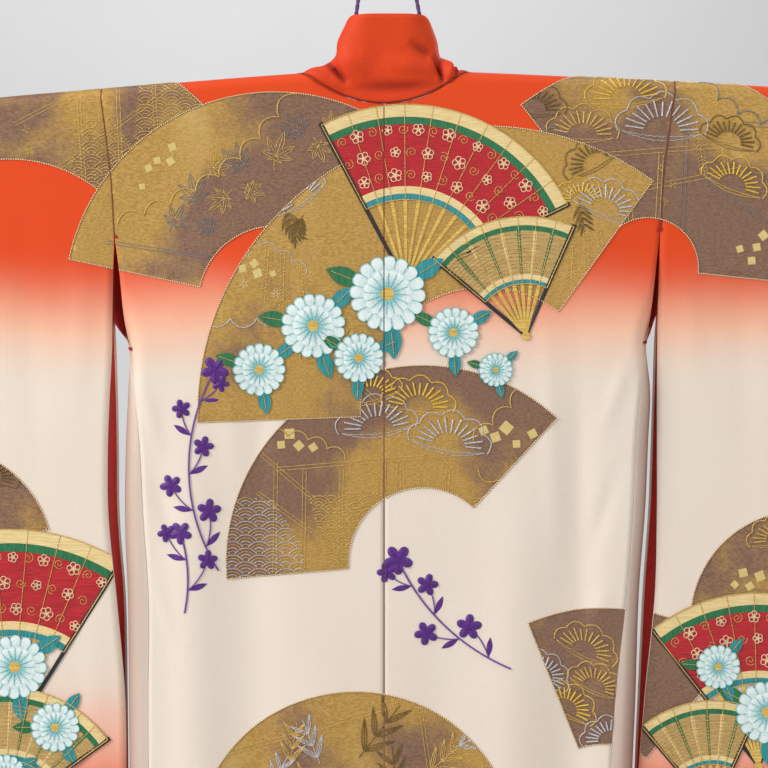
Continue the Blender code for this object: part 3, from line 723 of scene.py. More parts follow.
def front_place(hand, own_x, fall):
    """The place along the cloth of a point at this distance from the middle, on the flat of the front."""
    curl = smooth(0.24, ARMHOLE_END, fall)
    column = "front_edge" if fall <= ARMHOLE_END else "turn"
    return side(hand, fall, column) - own_x + curl * (side_arc() - SIDE_ROUND)


def cloth_point(hand, own_x, along):
    """A point by its distance from the middle and its length of cloth from the ridge, back negative."""
    if abs(along) <= QUARTER:
        return over_rod(hand, own_x, along)
    fall = abs(along) - QUARTER
    if along < 0:
        return back_point(hand, own_x, fall)
    return front_point(hand, front_place(hand, own_x, fall), fall)


def neck_x(along):
    """Half width of the neck opening: a parabola round the back, then nearly straight down the front."""
    if along <= 0:
        depth = QUARTER + NECK_FALL
        return NECK_HALF * math.sqrt(max(0.0, 1 + along / depth))
    return blend(NECK_HALF, OVERLAP_SEAM_X, min(1.0, along / (QUARTER + OVERLAP_TOP)))


def fine_falls(corners, step):
    """Falls between corners at no more than the step, each corner kept."""
    made = [corners[0]]
    for low, high in zip(corners, corners[1:]):
        count = math.ceil((high - low) / step)
        made += [low + (high - low) * k / count for k in range(1, count + 1)]
    return made


def over_ridge(falls, arc_steps=12):
    """Lengths of cloth from the ridge, from the lowest row of the back to the lowest of the front."""
    half = [QUARTER * k / arc_steps for k in range(arc_steps + 1)] + [QUARTER + fall for fall in falls]
    return [-length for length in reversed(half[1:])] + half


def cut_area(rows):
    """Area of the cloth that a grid of points lays out."""
    total = 0.0
    for upper, lower in zip(rows, rows[1:]):
        for k in range(len(upper) - 1):
            total += (lower[k + 1] - upper[k]).cross(upper[k + 1] - lower[k]).length / 2
    return total


def note_points(piece, name, values):
    """Gives a mesh one value a point, which its material reads by name."""
    layer = piece.data.attributes.new(name, "FLOAT", "POINT")
    layer.data.foreach_set("value", values)


def sewn_shell(name, rows, finish, thickness, ring=False, closing=()):
    """A thin cloth shell from rows of points, with its wall applied."""
    wide = len(rows[0])
    points = [point for row in rows for point in row]
    faces = []
    for k in range(len(rows) if ring else len(rows) - 1):
        low, high = k * wide, (k + 1) % len(rows) * wide
        faces += [(low + j, low + j + 1, high + j + 1, high + j) for j in range(wide - 1)]
    faces += [tuple(row * wide + column for row, column in corners) for corners in closing]
    shell = add_mesh(name, points, faces, [finish])
    shape = bmesh.new()
    shape.from_mesh(shell.data)
    bmesh.ops.remove_doubles(shape, verts=shape.verts[:], dist=1e-6)
    bmesh.ops.recalc_face_normals(shape, faces=shape.faces[:])
    shape.to_mesh(shell.data)
    shape.free()
    wall = shell.modifiers.new("wall", "SOLIDIFY")
    wall.thickness = thickness
    wall.offset = 0.0
    wall.use_even_offset = True
    return shell


def dyed_silk(name, top, low, return_top, return_low):
    """Crepe silk, vermilion down to top, shaded to cream at low, and back to vermilion further down."""
    silk = Finish(name, Sheen_Weight=0.04, Sheen_Roughness=0.45, Specular_IOR_Level=0.3)
    cloud = silk.noise(7.0, detail=3.0) - 0.5
    down = SHOULDER_Z - silk.z + cloud * 0.03
    dyed = down.between(low, top)
    back = down.between(return_top, return_low)
    twill = (silk.x * 2400.0 - silk.z * 1500.0).sine() * 0.5 + 0.5
    threads = silk.noise(1.0, detail=2.0, stretch=(420.0, 420.0, 900.0))
    slubs = threads * 0.7 + twill * 0.3
    cream = silk.mix(silk.noise(4.0), dye(242, 230, 216), dye(235, 219, 201))
    blush = silk.mix(dyed.between(0.0, 0.55), cream, dye(248, 192, 160))
    full = silk.mix(dyed.between(0.35, 1.0), blush, dye(230, 72, 14))
    low_blush = silk.mix(back.between(0.0, 0.6), full, dye(247, 186, 160))
    colour = silk.mix(back.between(0.45, 1.0), low_blush, dye(236, 92, 50))
    # Painted shade: where the 'turned' attribute is set, past the side seam, the colour is darkened to a
    # dusky pinkish brown.
    turned = silk.attribute("turned")
    colour = silk.mix(turned, colour, dye(146, 78, 54))
    shade = silk.mix(slubs.between(0.3, 0.7), dye(246, 243, 241), dye(255, 255, 255))
    silk.shine(Base_Color=silk.times(colour, shade), Roughness=0.52 + slubs * 0.2)
    silk.bump(slubs, 0.00016)
    return silk


body_silk = dyed_silk("body_silk", top=0.185, low=0.400, return_top=1.200, return_low=1.540)


def body_row(hand, along, columns):
    """One row of a body panel, from its middle or neck edge out to its side edge."""
    fall = abs(along) - QUARTER
    if along < 0 or abs(along) <= QUARTER:
        inner = neck_x(along) if fall < NECK_FALL - 1e-6 else SEAM_GAP / 2
        outer = side(hand, max(0.0, fall), "back_edge") - (SEAM_GAP / 2 if fall > 0.28 else 0.0)
        return [cloth_point(hand, blend(inner, outer, k / columns), along) for k in range(columns + 1)]
    inner = neck_x(along) if fall < OVERLAP_TOP else OVERLAP_SEAM_X
    first = front_place(hand, inner, fall)
    last = seam_place(hand, fall) + (SEAM_GAP / 2 if fall > 0.28 else 0.0)
    crowding = blend(1.0, SIDE_CROWDING, smooth(ARMHOLE_TOP, ARMHOLE_END, fall))
    parts = [1 - (1 - k / columns) ** crowding for k in range(columns + 1)]
    return [front_point(hand, blend(first, last, part), fall) for part in parts]


HANDS = {-1: "left", 1: "right"}
# How strongly the painted shade darkens the turned side of each hand
TURNED_SHADE = {-1: 0.68, 1: 0.88}


def shade_turned_side(panel, hand):
    """Marks the part past the side seam for a painted shade that darkens the turned cloth to a pinkish
    brown.
    """
    shades = []
    for vertex in panel.data.vertices:
        x, y, z = vertex.co
        fall = rod_z(x) - z
        edge, turn = side(hand, max(0.0, fall), "back_edge"), side(hand, max(0.0, fall), "turn")
        past = (abs(x) - edge - 0.0004) / max(0.004, turn - edge)
        shown = smooth(0.270, 0.345, fall) * (1.0 - smooth(-0.004, 0.012, y))
        part = 0.0 if past <= 0 else 0.34 + 0.66 * min(1.0, past) ** 1.6
        shades.append(TURNED_SHADE[hand] * part * shown)
    note_points(panel, "turned", shades)


body_falls = fine_falls([0.003, NECK_FALL], 0.003) + fine_falls(
    [NECK_FALL, OVERLAP_TOP, GARMENT_FALL], CLOTH_STEP
)[1:]
for hand, word in HANDS.items():
    rows = [body_row(hand, along, BODY_COLUMNS) for along in over_ridge(body_falls)]
    panel = sewn_shell(f"body_silk_{word}", rows, body_silk, SILK)
    shade_turned_side(panel, hand)
    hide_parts(f"body_{word}")
    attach(panel, "root")
    2 * (QUARTER + GARMENT_FALL)
    cut_area(rows)

# The front overlaps: a narrow length of the same silk sewn to each front, its top cut on a slant
# where the collar covers it. The left one lies over the right.
OVERLAP_WIDTH = 0.150
OVERLAP_POINT = 0.860
OVERLAP_COLUMNS = 20


def overlap_top(own_x):
    """Fall of the front overlap's slanting upper edge."""
    return blend(OVERLAP_TOP, OVERLAP_POINT, (OVERLAP_SEAM_X - own_x) / OVERLAP_WIDTH)


lower_falls = fine_falls([0.900, GARMENT_FALL], 0.008)
for hand, word in HANDS.items():
    rows = []
    for k in range(60 + len(lower_falls)):
        row = []
        for j in range(OVERLAP_COLUMNS + 1):
            own_x = OVERLAP_SEAM_X - OVERLAP_WIDTH * j / OVERLAP_COLUMNS
            fall = lower_falls[k - 60] if k >= 60 else blend(overlap_top(own_x), lower_falls[0], k / 60)
            seam_x = own_x - SEAM_GAP if j == 0 else own_x
            row.append(front_point(hand, front_place(hand, seam_x, fall), fall))
        rows.append(row)
    panel = sewn_shell(f"overlap_silk_{word}", rows, body_silk, SILK)
    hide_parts(f"front_overlap_{word}")
    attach(panel, "root")
    cut_area(rows)

# The sleeves: each is one long bag of the same silk, 1.05 m deep, sewn to the body over the shoulder
# only, open all down its inner edge and at the wrist, with the lower outer corner rounded.
SLEEVE_FALL = 1.050
SLEEVE_CORNER = 0.040
CUFF_END = 0.210
SLEEVE_SLACK = 0.35
LINING_RECESS = 0.0025
LINING_OUTER_RECESS = 0.004
LINING_NARROWING = 0.006
LINING_SLACK = 0.0036
BODY_LINING_INNER_X = 0.125
LINING_SHOWN = 0.0007
ROD_ARC_POINTS = 19
BOTTOM_STEPS = 8
sleeve_falls = fine_falls([0.0, CUFF_END, SLEEVE_FALL], 0.0078)
sleeve_silk = dyed_silk("sleeve_silk", top=0.185, low=0.400, return_top=0.660, return_low=0.920)


def sleeve_middle(hand, own_x, fall, layer_sign, inset):
    """Distance of a sleeve's layer from the rod's upright plane, creases included."""
    end = SLEEVE_END[hand]
    across = (own_x - side(hand, fall, "sleeve_back")) / (end - side(hand, fall, "sleeve_back"))
    narrow = 1 - 0.5 * smooth(0.8, 1.0, across) * smooth(CUFF_END, 0.30, fall)
    half = sleeve_thickness(fall) * narrow - inset * (1 + SLEEVE_SLACK * smooth(0.0, 0.1, fall))
    creases = BACK_CREASES if layer_sign < 0 else FRONT_CREASES
    raised = crease_depth(creases, hand * own_x, fall) * (1 - smooth(0.90, 1.0, across))
    return half + max(-0.35 * half, raised)


def sleeve_row(hand, recess, outer_recess, across, inset, falls):
    """Points round a sleeve at one distance from the body: back, over the rod, front and bottom."""
    end = SLEEVE_END[hand]
    from_end = (1 - across) * (end - side(hand, SLEEVE_FALL, "sleeve_back"))
    reach = max(0.0, SLEEVE_CORNER - from_end)
    rise = SLEEVE_CORNER - math.sqrt(max(0.0, SLEEVE_CORNER**2 - reach**2))

    def point(layer_sign, fall):
        edge = side(hand, fall, "sleeve_back" if layer_sign < 0 else "sleeve_front")
        own_x = blend(edge + SEAM_GAP + recess, end - outer_recess, across)
        x = hand * own_x
        lifted = fall - rise * smooth(0.85, SLEEVE_FALL, fall)
        half = sleeve_middle(hand, own_x, fall, layer_sign, inset)
        return Vector((x, layer_sign * half, rod_z(x) - lifted))

    ring = [point(-1, fall) for fall in reversed(falls)]
    radius = FOLD_RADIUS - inset
    top = Vector((ring[-1].x, 0.0, ring[-1].z))
    for k in range(1, ROD_ARC_POINTS + 1):
        angle = math.pi / 2 * (2 * k / (ROD_ARC_POINTS + 1) - 1)
        ring.append(top + Vector((0, radius * math.sin(angle), radius * math.cos(angle))))
    ring += [point(1, fall) for fall in falls]
    back, front = ring[0].copy(), ring[-1].copy()
    low = (front.y - back.y) / 2
    for k in range(1, BOTTOM_STEPS):
        angle = math.pi * k / BOTTOM_STEPS
        middle = front.lerp(back, k / BOTTOM_STEPS)
        middle.y = (front.y + back.y) / 2
        ring.append(middle + Vector((0, low * math.cos(angle), -low * math.sin(angle))))
    return ring


def sleeve_columns(count):
    """Shares of a sleeve's width, closer together at its rounded outer corner."""
    return [1 - (1 - k / count) ** 1.25 for k in range(count + 1)]


for hand, word in HANDS.items():
    columns = [sleeve_row(hand, 0.0, 0.0, across, 0.0, sleeve_falls) for across in sleeve_columns(46)]
    rows = [list(row) for row in zip(*columns)]
    count = len(sleeve_falls)
    last = len(columns) - 1
    cuff = count - 1 - min(range(count), key=lambda k: abs(sleeve_falls[k] - CUFF_END))
    closing = []
    for k in range(cuff):
        mirror = 2 * count + ROD_ARC_POINTS - 1 - k
        closing.append(((k, last), (k + 1, last), (mirror - 1, last), (mirror, last)))
    bottom = 2 * count + ROD_ARC_POINTS
    closing.append(((0, last), *[(row, last) for row in range(bottom - 1, bottom - 1 + BOTTOM_STEPS)]))
    bag = sewn_shell(f"sleeve_silk_{word}", rows, sleeve_silk, SILK, ring=True, closing=closing)
    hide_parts(f"sleeve_{word}")
    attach(bag, "root")
    width = SLEEVE_END[hand] - side(hand, 0.5, "sleeve_back")
    width + 0.02
    2 * (QUARTER + SLEEVE_FALL) + 0.03
    cut_area(rows)

# The lining: thin red silk inside the sleeves and round the open armholes, felled to the outer silk
# a little way inside its edge, so that it shows as a red strip where the sleeve hangs open.
lining_silk = Finish("lining_silk", Sheen_Weight=0.25)
lining_threads = lining_silk.noise(1.0, stretch=(900.0, 900.0, 700.0))
lining_silk.shine(
    Base_Color=lining_silk.mix(lining_threads.between(0.3, 0.7), dye(176, 20, 12), dye(214, 36, 24)),
    Roughness=0.4 + lining_threads * 0.2,
)
lining_silk.bump(lining_threads, 0.0002)
lining_falls = fine_falls([0.0, 0.260, 0.304], 0.006)

# How far out the lining of the fronts shows in the open armhole, down to its slanting lower edge
Facing = namedtuple("Facing", "fall outer_x")
ARMHOLE_FACINGS = {
    -1: (
        Facing(0.158, 0.3200),
        Facing(0.166, 0.3235),
        Facing(0.262, 0.3242),
        Facing(0.270, 0.3215),
        Facing(0.280, 0.3150),
        Facing(0.292, 0.3060),
        Facing(0.304, 0.3000),
    ),
    1: (
        Facing(0.158, 0.3270),
        Facing(0.166, 0.3300),
        Facing(0.215, 0.3292),
        Facing(0.240, 0.3285),
        Facing(0.262, 0.3272),
        Facing(0.276, 0.3225),
        Facing(0.290, 0.3180),
        Facing(0.304, 0.3120),
    ),
}
FACING_COLUMNS = 5
FACING_Y = 0.0030


def faced(hand, row, fall):
    """A row of the lining of the fronts, carried on into the open armhole."""
    last = row[-1]
    outer = 0.0
    if ARMHOLE_FACINGS[hand][0].fall < fall:
        outer = read(ARMHOLE_FACINGS[hand], fall, "outer_x")
    end = Vector((hand * outer, FACING_Y, last.z)) if outer > abs(last.x) else last
    return row + [last.lerp(end, k / FACING_COLUMNS) for k in range(1, FACING_COLUMNS + 1)]


for hand, word in HANDS.items():
    parts = (LINING_RECESS, LINING_OUTER_RECESS)
    columns = [sleeve_row(hand, *parts, k / 24, LINING_INSET, sleeve_falls[::2]) for k in range(25)]
    rows = [list(row) for row in zip(*columns)]
    tube = sewn_shell(f"sleeve_lining_silk_{word}", rows, lining_silk, LINING_SHOWN, ring=True)
    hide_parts(f"sleeve_lining_{word}")
    yoke_rows = []
    for along in over_ridge(lining_falls[1:]):
        fall = max(0.0, abs(along) - QUARTER)
        recess = LINING_RECESS + LINING_NARROWING * smooth(0.22, ARMHOLE_END, fall)
        edge = side(hand, fall, "back_edge" if along < 0 else "front_edge") - recess
        loose = LINING_INSET + LINING_SLACK * smooth(0.0, 0.05, fall)
        row = []
        for k in range(21):
            point = cloth_point(hand, blend(BODY_LINING_INNER_X, edge, k / 20), along)
            if abs(along) < QUARTER:
                middle = rod_z(point.x)
                point.y *= LINING_RADIUS / FOLD_RADIUS
                point.z = middle + (point.z - middle) * LINING_RADIUS / FOLD_RADIUS
            else:
                point.y -= math.copysign(loose, point.y)
            row.append(point)
        yoke_rows.append(faced(hand, row, abs(along) - QUARTER if along > 0 else 0.0))
    yoke = sewn_shell(f"body_lining_silk_{word}", yoke_rows, lining_silk, LINING_SHOWN)
    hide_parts(f"body_lining_{word}")
    for piece, piece_rows, flat, carrier in (
        (tube, rows, (0.370, 2 * (QUARTER + SLEEVE_FALL)), f"sleeve_silk_{word}"),
        (yoke, yoke_rows, (0.210, 2 * (QUARTER + 0.304)), f"body_silk_{word}"),
    ):
        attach(piece, "root")
        cut_area(piece_rows)

# The collar: a wide band of the vermilion silk, double, sewn round the neck and down both fronts. It
# isn't folded down for wearing, so it stands up round the back of the neck and lies flat in front.
COLLAR = 0.0022
COLLAR_WIDTH_NECK = 0.075
COLLAR_WIDTH_FRONT = 0.058
COLLAR_GAP = 0.0005
COLLAR_ROOT = 0.005
COLLAR_TANGENT = 0.030
COLLAR_CENTRE_X = 0.005
COLLAR_COLUMNS = 30
COLLAR_LIES_FLAT = (0.165, 0.235)

# The collar's free edge, by how far along the neck seam it is from the middle of the back
CollarEdge = namedtuple("CollarEdge", "along x y z swell")
COLLAR_EDGE = (
    CollarEdge(0.000, 0.000, -0.0340, 0.0725, 0.0040),
    CollarEdge(0.035, 0.030, -0.0325, 0.0722, 0.0080),
    CollarEdge(0.060, 0.0445, -0.0210, 0.0700, 0.0110),
    CollarEdge(0.090, 0.0530, -0.0010, 0.0540, 0.0080),
    CollarEdge(0.116, 0.0610, 0.0170, 0.0320, 0.0050),
    CollarEdge(0.137, 0.0610, 0.0280, 0.0120, 0.0030),
    CollarEdge(0.165, 0.0540, 0.0350, -0.0160, 0.0015),
    CollarEdge(0.200, 0.0410, 0.0360, -0.0500, 0.0000),
)

# Its creases, each between two places: signed length along the seam, and height up the band
CollarCrease = namedtuple("CollarCrease", "along1 up1 along2 up2 half_width depth")
COLLAR_CREASES = (
    CollarCrease(-0.100, 0.030, -0.060, 0.010, 0.0045, -0.0034),
    CollarCrease(-0.112, 0.020, -0.074, 0.003, 0.0045, 0.0024),
    CollarCrease(-0.098, 0.042, -0.050, 0.022, 0.0060, 0.0026),
    CollarCrease(-0.066, 0.014, 0.072, 0.013, 0.0050, -0.0018),
    CollarCrease(-0.050, 0.030, 0.052, 0.034, 0.0090, 0.0010),
    CollarCrease(0.058, 0.012, 0.098, 0.030, 0.0042, -0.0032),
    CollarCrease(0.074, 0.006, 0.112, 0.024, 0.0042, 0.0030),
    CollarCrease(0.084, 0.000, 0.122, 0.016, 0.0036, -0.0022),
    CollarCrease(0.050, 0.024, 0.098, 0.044, 0.0060, 0.0024),
    CollarCrease(0.020, 0.040, 0.034, 0.072, 0.0070, -0.0008),
    CollarCrease(-0.036, 0.036, -0.030, 0.074, 0.0080, 0.0008),
    CollarCrease(-0.300, 0.010, -0.240, 0.050, 0.0090, 0.0014),
    CollarCrease(0.260, 0.012, 0.330, 0.048, 0.0090, -0.0014),
    CollarCrease(-0.520, 0.010, -0.440, 0.046, 0.0100, -0.0012),
    CollarCrease(0.480, 0.010, 0.560, 0.046, 0.0100, 0.0013),
)


def collar_seam():
    """Places of one half of the neck seam, from the middle of the back to the collar's end."""
    places = []
    for along in over_ridge(body_falls):
        fall = abs(along) - QUARTER
        if along < 0 and fall > NECK_FALL + 1e-6:
            continue
        if along > 0 and fall > OVERLAP_TOP + 1e-6:
            break
        places.append((neck_x(along), along))
    for j in range(1, 61):
        own_x = OVERLAP_SEAM_X - OVERLAP_WIDTH * j / 60
        places.append((own_x, QUARTER + overlap_top(own_x)))
    return places


def collar_rows(hand):
    """Sections of one half of the collar, each from the seam to the free edge."""
    places = collar_seam()
    rows = []
    along_seam = 0.0
    for k, (own_x, along) in enumerate(places):
        before = places[max(0, k - 1)] if k else (-places[1][0], places[1][1])
        after = places[min(len(places) - 1, k + 1)]
        step = Vector((after[0] - before[0], after[1] - before[1])).normalized()
        inward = Vector((-step.y, step.x))
        if k:
            along_seam += math.hypot(own_x - places[k - 1][0], along - places[k - 1][1])

        def on_cloth(distance):
            return cloth_point(hand, own_x + inward.x * distance, along + inward.y * distance)

        seam, root = on_cloth(COLLAR_GAP), on_cloth(COLLAR_ROOT)
        width = blend(COLLAR_WIDTH_NECK, COLLAR_WIDTH_FRONT, smooth(0.18, 0.45, along_seam))
        flat = smooth(*COLLAR_LIES_FLAT, along_seam)
        raised = {axis: read(COLLAR_EDGE, along_seam, axis) for axis in ("x", "y", "z")}
        edge = Vector((hand * raised["x"] + COLLAR_CENTRE_X, raised["y"], SHOULDER_Z + raised["z"]))
        swell = read(COLLAR_EDGE, along_seam, "swell") * (1 - flat)
        turned = min(1.2, along_seam * 11)
        away = Vector((hand * math.sin(turned), -math.cos(turned), 0))
        handle = root + (root - seam).normalized() * COLLAR_TANGENT + away * swell
        row = [seam, root]
        for j in range(1, COLLAR_COLUMNS + 1):
            part = j / COLLAR_COLUMNS
            standing = root * (1 - part) ** 2 + handle * 2 * part * (1 - part) + edge * part**2
            row.append(standing.lerp(on_cloth(blend(COLLAR_ROOT, width, part)), flat))
        rows.append(row)
    return rows


# The deep folds of the standing part, each between two places seen from behind: across, and up from
# the shoulder; and how far the band is drawn in over them at each side of the neck
NeckFold = namedtuple("NeckFold", "x1 up1 x2 up2 half_width depth")
NECK_FOLDS = (
    NeckFold(-0.0720, 0.0170, -0.0420, -0.0120, 0.0040, -0.0115),
    NeckFold(-0.0990, 0.0070, -0.0480, -0.0190, 0.0050, 0.0056),
    NeckFold(-0.0640, 0.0320, -0.0180, -0.0020, 0.0090, 0.0052),
    NeckFold(-0.0360, -0.0160, 0.0720, -0.0140, 0.0055, -0.0046),
    NeckFold(0.0280, 0.0380, 0.0640, 0.0180, 0.0050, -0.0046),
    NeckFold(-0.0050, 0.0160, 0.0560, 0.0040, 0.0090, 0.0044),
    NeckFold(0.0630, 0.0230, 0.0710, -0.0140, 0.0034, -0.0100),
    NeckFold(0.0760, 0.0210, 0.0800, -0.0120, 0.0042, 0.0080),
    NeckFold(0.0880, 0.0130, 0.0840, -0.0120, 0.0026, -0.0060),
    NeckFold(0.0900, 0.0100, 0.1080, -0.0040, 0.0050, 0.0024),
)
NECK_DRAW = {-1: 0.0120, 1: 0.0085}
NECK_DRAW_UP = 0.0230
NECK_DRAW_HALF = 0.0150
NECK_HALF_SEEN = 0.0720
NECK_SLUMP = 0.0035
NECK_SHADE_DEPTH = 0.006
COLLAR_STEP = 0.0033


def refined(rows, step):
    """More rows between rows, on smooth curves through them, so that none is a step apart."""
    made = []
    for k in range(len(rows) - 1):
        before, after = rows[max(0, k - 1)], rows[min(len(rows) - 1, k + 2)]
        gap = max((b - a).length for a, b in zip(rows[k], rows[k + 1]))
        count = max(1, math.ceil(gap / step))
        for j in range(count):
            t = j / count
            row = []
            for a, b, c, d in zip(before, rows[k], rows[k + 1], after):
                row.append(
                    0.5
                    * (
                        2 * b
                        + (c - a) * t
                        + (2 * a - 5 * b + 4 * c - d) * t**2
                        + (3 * b - a - 3 * c + d) * t**3
                    )
                )
            made.append(row)
    return made + [rows[-1]]



def neck_depth(point):
    """How far the neck's deep folds stand out at a place of the standing band, negative inwards."""
    up = point.z - SHOULDER_Z
    total = sum((crease_push(fold, point.x, up, power=1) for fold in NECK_FOLDS), 0.0)
    return total * (1.0 - smooth(0.004, 0.016, point.y))


def folded_neck(point, normal):
    """The push of the neck's deep folds, and how far the sides of the neck are drawn in."""
    up = point.z - SHOULDER_Z
    off_centre = point.x - COLLAR_CENTRE_X
    hand = -1 if off_centre < 0 else 1
    bell = math.exp(-(((up - NECK_DRAW_UP) / NECK_DRAW_HALF) ** 2))
    spread = min(1.2, abs(off_centre) / NECK_HALF_SEEN)
    drawn = NECK_DRAW[hand] * bell * spread**2 * smooth(-0.004, 0.010, up)
    out = normal if normal.y < 0 else -normal
    return out * neck_depth(point) - Vector((hand * drawn, 0.0, NECK_SLUMP * smooth(0.045, 0.075, up)))


def creased(rows):
    """The same grid, pushed along its own normals by the collar's creases."""
    middle = min(range(len(rows) // 3, 2 * len(rows) // 3), key=lambda k: abs(rows[k][0].x))
    alongs = [0.0]
    for first, second in zip(rows, rows[1:]):
        alongs.append(alongs[-1] + (second[1] - first[1]).length)
    made = []
    for k, row in enumerate(rows):
        along = alongs[k] - alongs[middle]
        up = 0.0
        fresh = []
        for j, point in enumerate(row):
            up += (point - row[j - 1]).length if j else 0.0
            ahead = rows[min(k + 1, len(rows) - 1)][j] - rows[max(k - 1, 0)][j]
            rise = row[min(j + 1, len(row) - 1)] - row[max(j - 1, 0)]
            normal = ahead.cross(rise).normalized()
            if normal.y > 0 and abs(along) < 0.06:
                normal = -normal
            total = sum((crease_push(crease, along, up) for crease in COLLAR_CREASES), 0.0)
            started = smooth(0.0, 0.006, up)
            fresh.append(point + (normal * total + folded_neck(point, normal)) * started)
        made.append(fresh)
    return made


def plain_silk(name, first, second):
    """The crepe silk in one colour, a little uneven in the dye, with painted shade darkening it in the
    neck's deep folds.
    """
    silk = Finish(name, Sheen_Weight=0.04, Sheen_Roughness=0.45, Specular_IOR_Level=0.3)
    threads = silk.noise(1.0, detail=2.0, stretch=(520.0, 520.0, 1100.0))
    tint = silk.mix(silk.noise(9.0).between(0.35, 0.65), first, second)
    # Painted shade: the colour is darkened towards deep red where the neck's folds turn inwards.
    tint = silk.mix(silk.attribute("hollow") * 0.75, tint, dye(128, 16, 4))
    shade = silk.mix(threads.between(0.25, 0.75), dye(238, 234, 232), dye(255, 255, 255))
    silk.shine(Base_Color=silk.times(tint, shade), Roughness=0.55 + threads * 0.15)
    silk.bump(threads, 0.0003)
    return silk


collar_silk = plain_silk("collar_silk", dye(232, 70, 12), dye(224, 62, 10))
left_rows, right_rows = collar_rows(-1), collar_rows(1)
band_rows = creased(refined(left_rows[:0:-1] + right_rows, COLLAR_STEP))
band = sewn_shell("collar_band", band_rows, collar_silk, COLLAR)
band.modifiers["wall"].use_even_offset = False
# Painted shade for the collar: how far inwards the neck's deep folds lie at each point, for the material to
# darken.
fold_shade_amounts = [min(1.0, max(0.0, -neck_depth(vertex.co) / NECK_SHADE_DEPTH)) for vertex in band.data.vertices]
note_points(band, "hollow", fold_shade_amounts)
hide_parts("collar")
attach(band, "root")
band_length = sum((b[1] - a[1]).length for a, b in zip(band_rows, band_rows[1:]))
min(cut_area(band_rows), COLLAR_WIDTH_NECK * band_length)

# The fan-shaped panels: foil rubbed on the silk through a stencil, gold shading into bronze brown,
# as if open folding fans lay scattered over the shoulders and the skirt. Their tables are in
# millimetres from the middle seam and down from the shoulder, and each fan lies over those after it.
MM = 0.001
FOIL_LIFT = 0.0004
RIM_LIFT = 0.00008
PATCH_STEP = 8.0
RIDGE_ROWS = 24
RIDGE_LIFT = 0.00045
SEAM_MARGIN = 0.0006
CUFF_MARGIN = 0.002
NEAR_SEAM = 0.32
FAN_ARC_STEP = 4.0
FanPanel = namedtuple("FanPanel", "name x down outer inner start end tone_in tone_out tone_start tone_end")
FANS = (
    FanPanel("middle", 120.1, 402.7, 340.6, 148.2, 54, 182, 0.10, 0.05, 0.00, 0.10),
    FanPanel("shoulder_left", -129.7, 272.5, 251.0, 91.0, 58, 168, 0.45, 0.15, 0.75, 0.00),
    FanPanel("yoke_left", -445.7, 272.5, 329.8, 171.2, 36, 146, 0.55, 0.80, 0.10, 0.35),
    FanPanel("yoke_right", 314.9, 230.6, 246.0, 59.8, -6, 128, 0.75, 0.45, 0.35, 0.55),
    FanPanel("waist", 46, 580, 233, 88, 47, 185, -0.20, 0.85, 0.35, 0.20),
    FanPanel("skirt_middle", -34.1, 926.1, 192.4, 74.0, 16, 168, 0.10, 0.15, 0.10, 0.10),
    FanPanel("skirt_right", 261.1, 876.0, 241.4, 80.0, 50, 112, 0.70, 0.75, 0.20, 0.20),
    FanPanel("sleeve_left", -531.2, 579.6, 137.0, 54.0, 16, 118, 0.60, 0.70, 0.10, 0.00),
    FanPanel("sleeve_right", 496.5, 651.3, 131.0, 50.0, 60, 172, 0.60, 0.60, 0.00, 0.20),
)

# Places where a fan's foil is rubbed browner, or brighter where the amount is negative
FoilSpot = namedtuple("FoilSpot", "fan x down reach amount")
FOIL_SPOTS = (
    FoilSpot("yoke_right", 432, 46, 84, -1.1),
    FoilSpot("yoke_right", 262, 14, 44, -0.5),
    FoilSpot("yoke_right", 420, 190, 80, 0.8),
    FoilSpot("shoulder_left", -196, 186, 62, 0.8),
    FoilSpot("shoulder_left", -264, 128, 52, -0.7),
    FoilSpot("shoulder_left", -60, 66, 50, 0.5),
    FoilSpot("yoke_left", -352, 26, 34, -0.8),
    FoilSpot("middle", -184, 330, 60, 0.3),
    FoilSpot("waist", -146, 470, 60, 0.6),
    FoilSpot("waist", 10, 470, 60, -0.5),
    FoilSpot("skirt_middle", -104, 800, 46, 0.5),
    FoilSpot("skirt_middle", 40, 796, 40, 0.5),
)


def clip_reach(fall):
    """Where the body's and the sleeve's edges are at a fall, negative over the ridge."""
    return max(0.0, fall, -fall - 2 * QUARTER)


def panel_at(x, z):
    """Which panel is seen at a place, or None in an open armhole or past an edge."""
    hand = -1 if x < 0 else 1
    own_x, fall = abs(x), rod_z(x) - z
    reach = clip_reach(fall)
    if fall > GARMENT_FALL or own_x < SEAM_MARGIN:
        return None
    if own_x < side(hand, reach, "back_edge") - SEAM_MARGIN:
        return ("body", hand)
    if own_x < side(hand, reach, "sleeve_back") + SEAM_MARGIN + SEAM_GAP or reach > SLEEVE_FALL - 0.004:
        return None
    return ("sleeve", hand) if own_x < SLEEVE_END[hand] - CUFF_MARGIN else None


def on_face(x, z, lift):
    """The place on the outer face of the back or a sleeve behind x and z, or over the ridge past it."""
    hand = -1 if x < 0 else 1
    own_x, fall = abs(x), rod_z(x) - z
    sleeve = own_x > side(hand, clip_reach(fall), "back_edge")
    along = -(QUARTER + fall)
    out = SILK / 2 + lift
    if abs(along) < QUARTER:
        radius = FOLD_RADIUS + out
        angle = along / FOLD_RADIUS
        return Vector((x, radius * math.sin(angle), rod_z(x) + radius * math.cos(angle)))
    if along > 0:
        fall = along - QUARTER
    if sleeve:
        sign = 1 if along > 0 else -1
        half = sleeve_middle(hand, own_x, fall, sign, 0.0)
        return Vector((x, sign * (half + out), rod_z(x) - fall))
    point = cloth_point(hand, own_x, math.copysign(QUARTER + fall, along))
    point.y += math.copysign(out, along)
    return point


def at(x, down):
    """A place of the picture, in millimetres, as x and z."""
    return x * MM, SHOULDER_Z - down * MM


def polar(x, down, reach, angle):
    """The place at a distance from another, its angle in radians anticlockwise from the right."""
    return x + reach * math.cos(angle), down - reach * math.sin(angle)


def midway(first, second, part):
    return blend(first[0], second[0], part), blend(first[1], second[1], part)


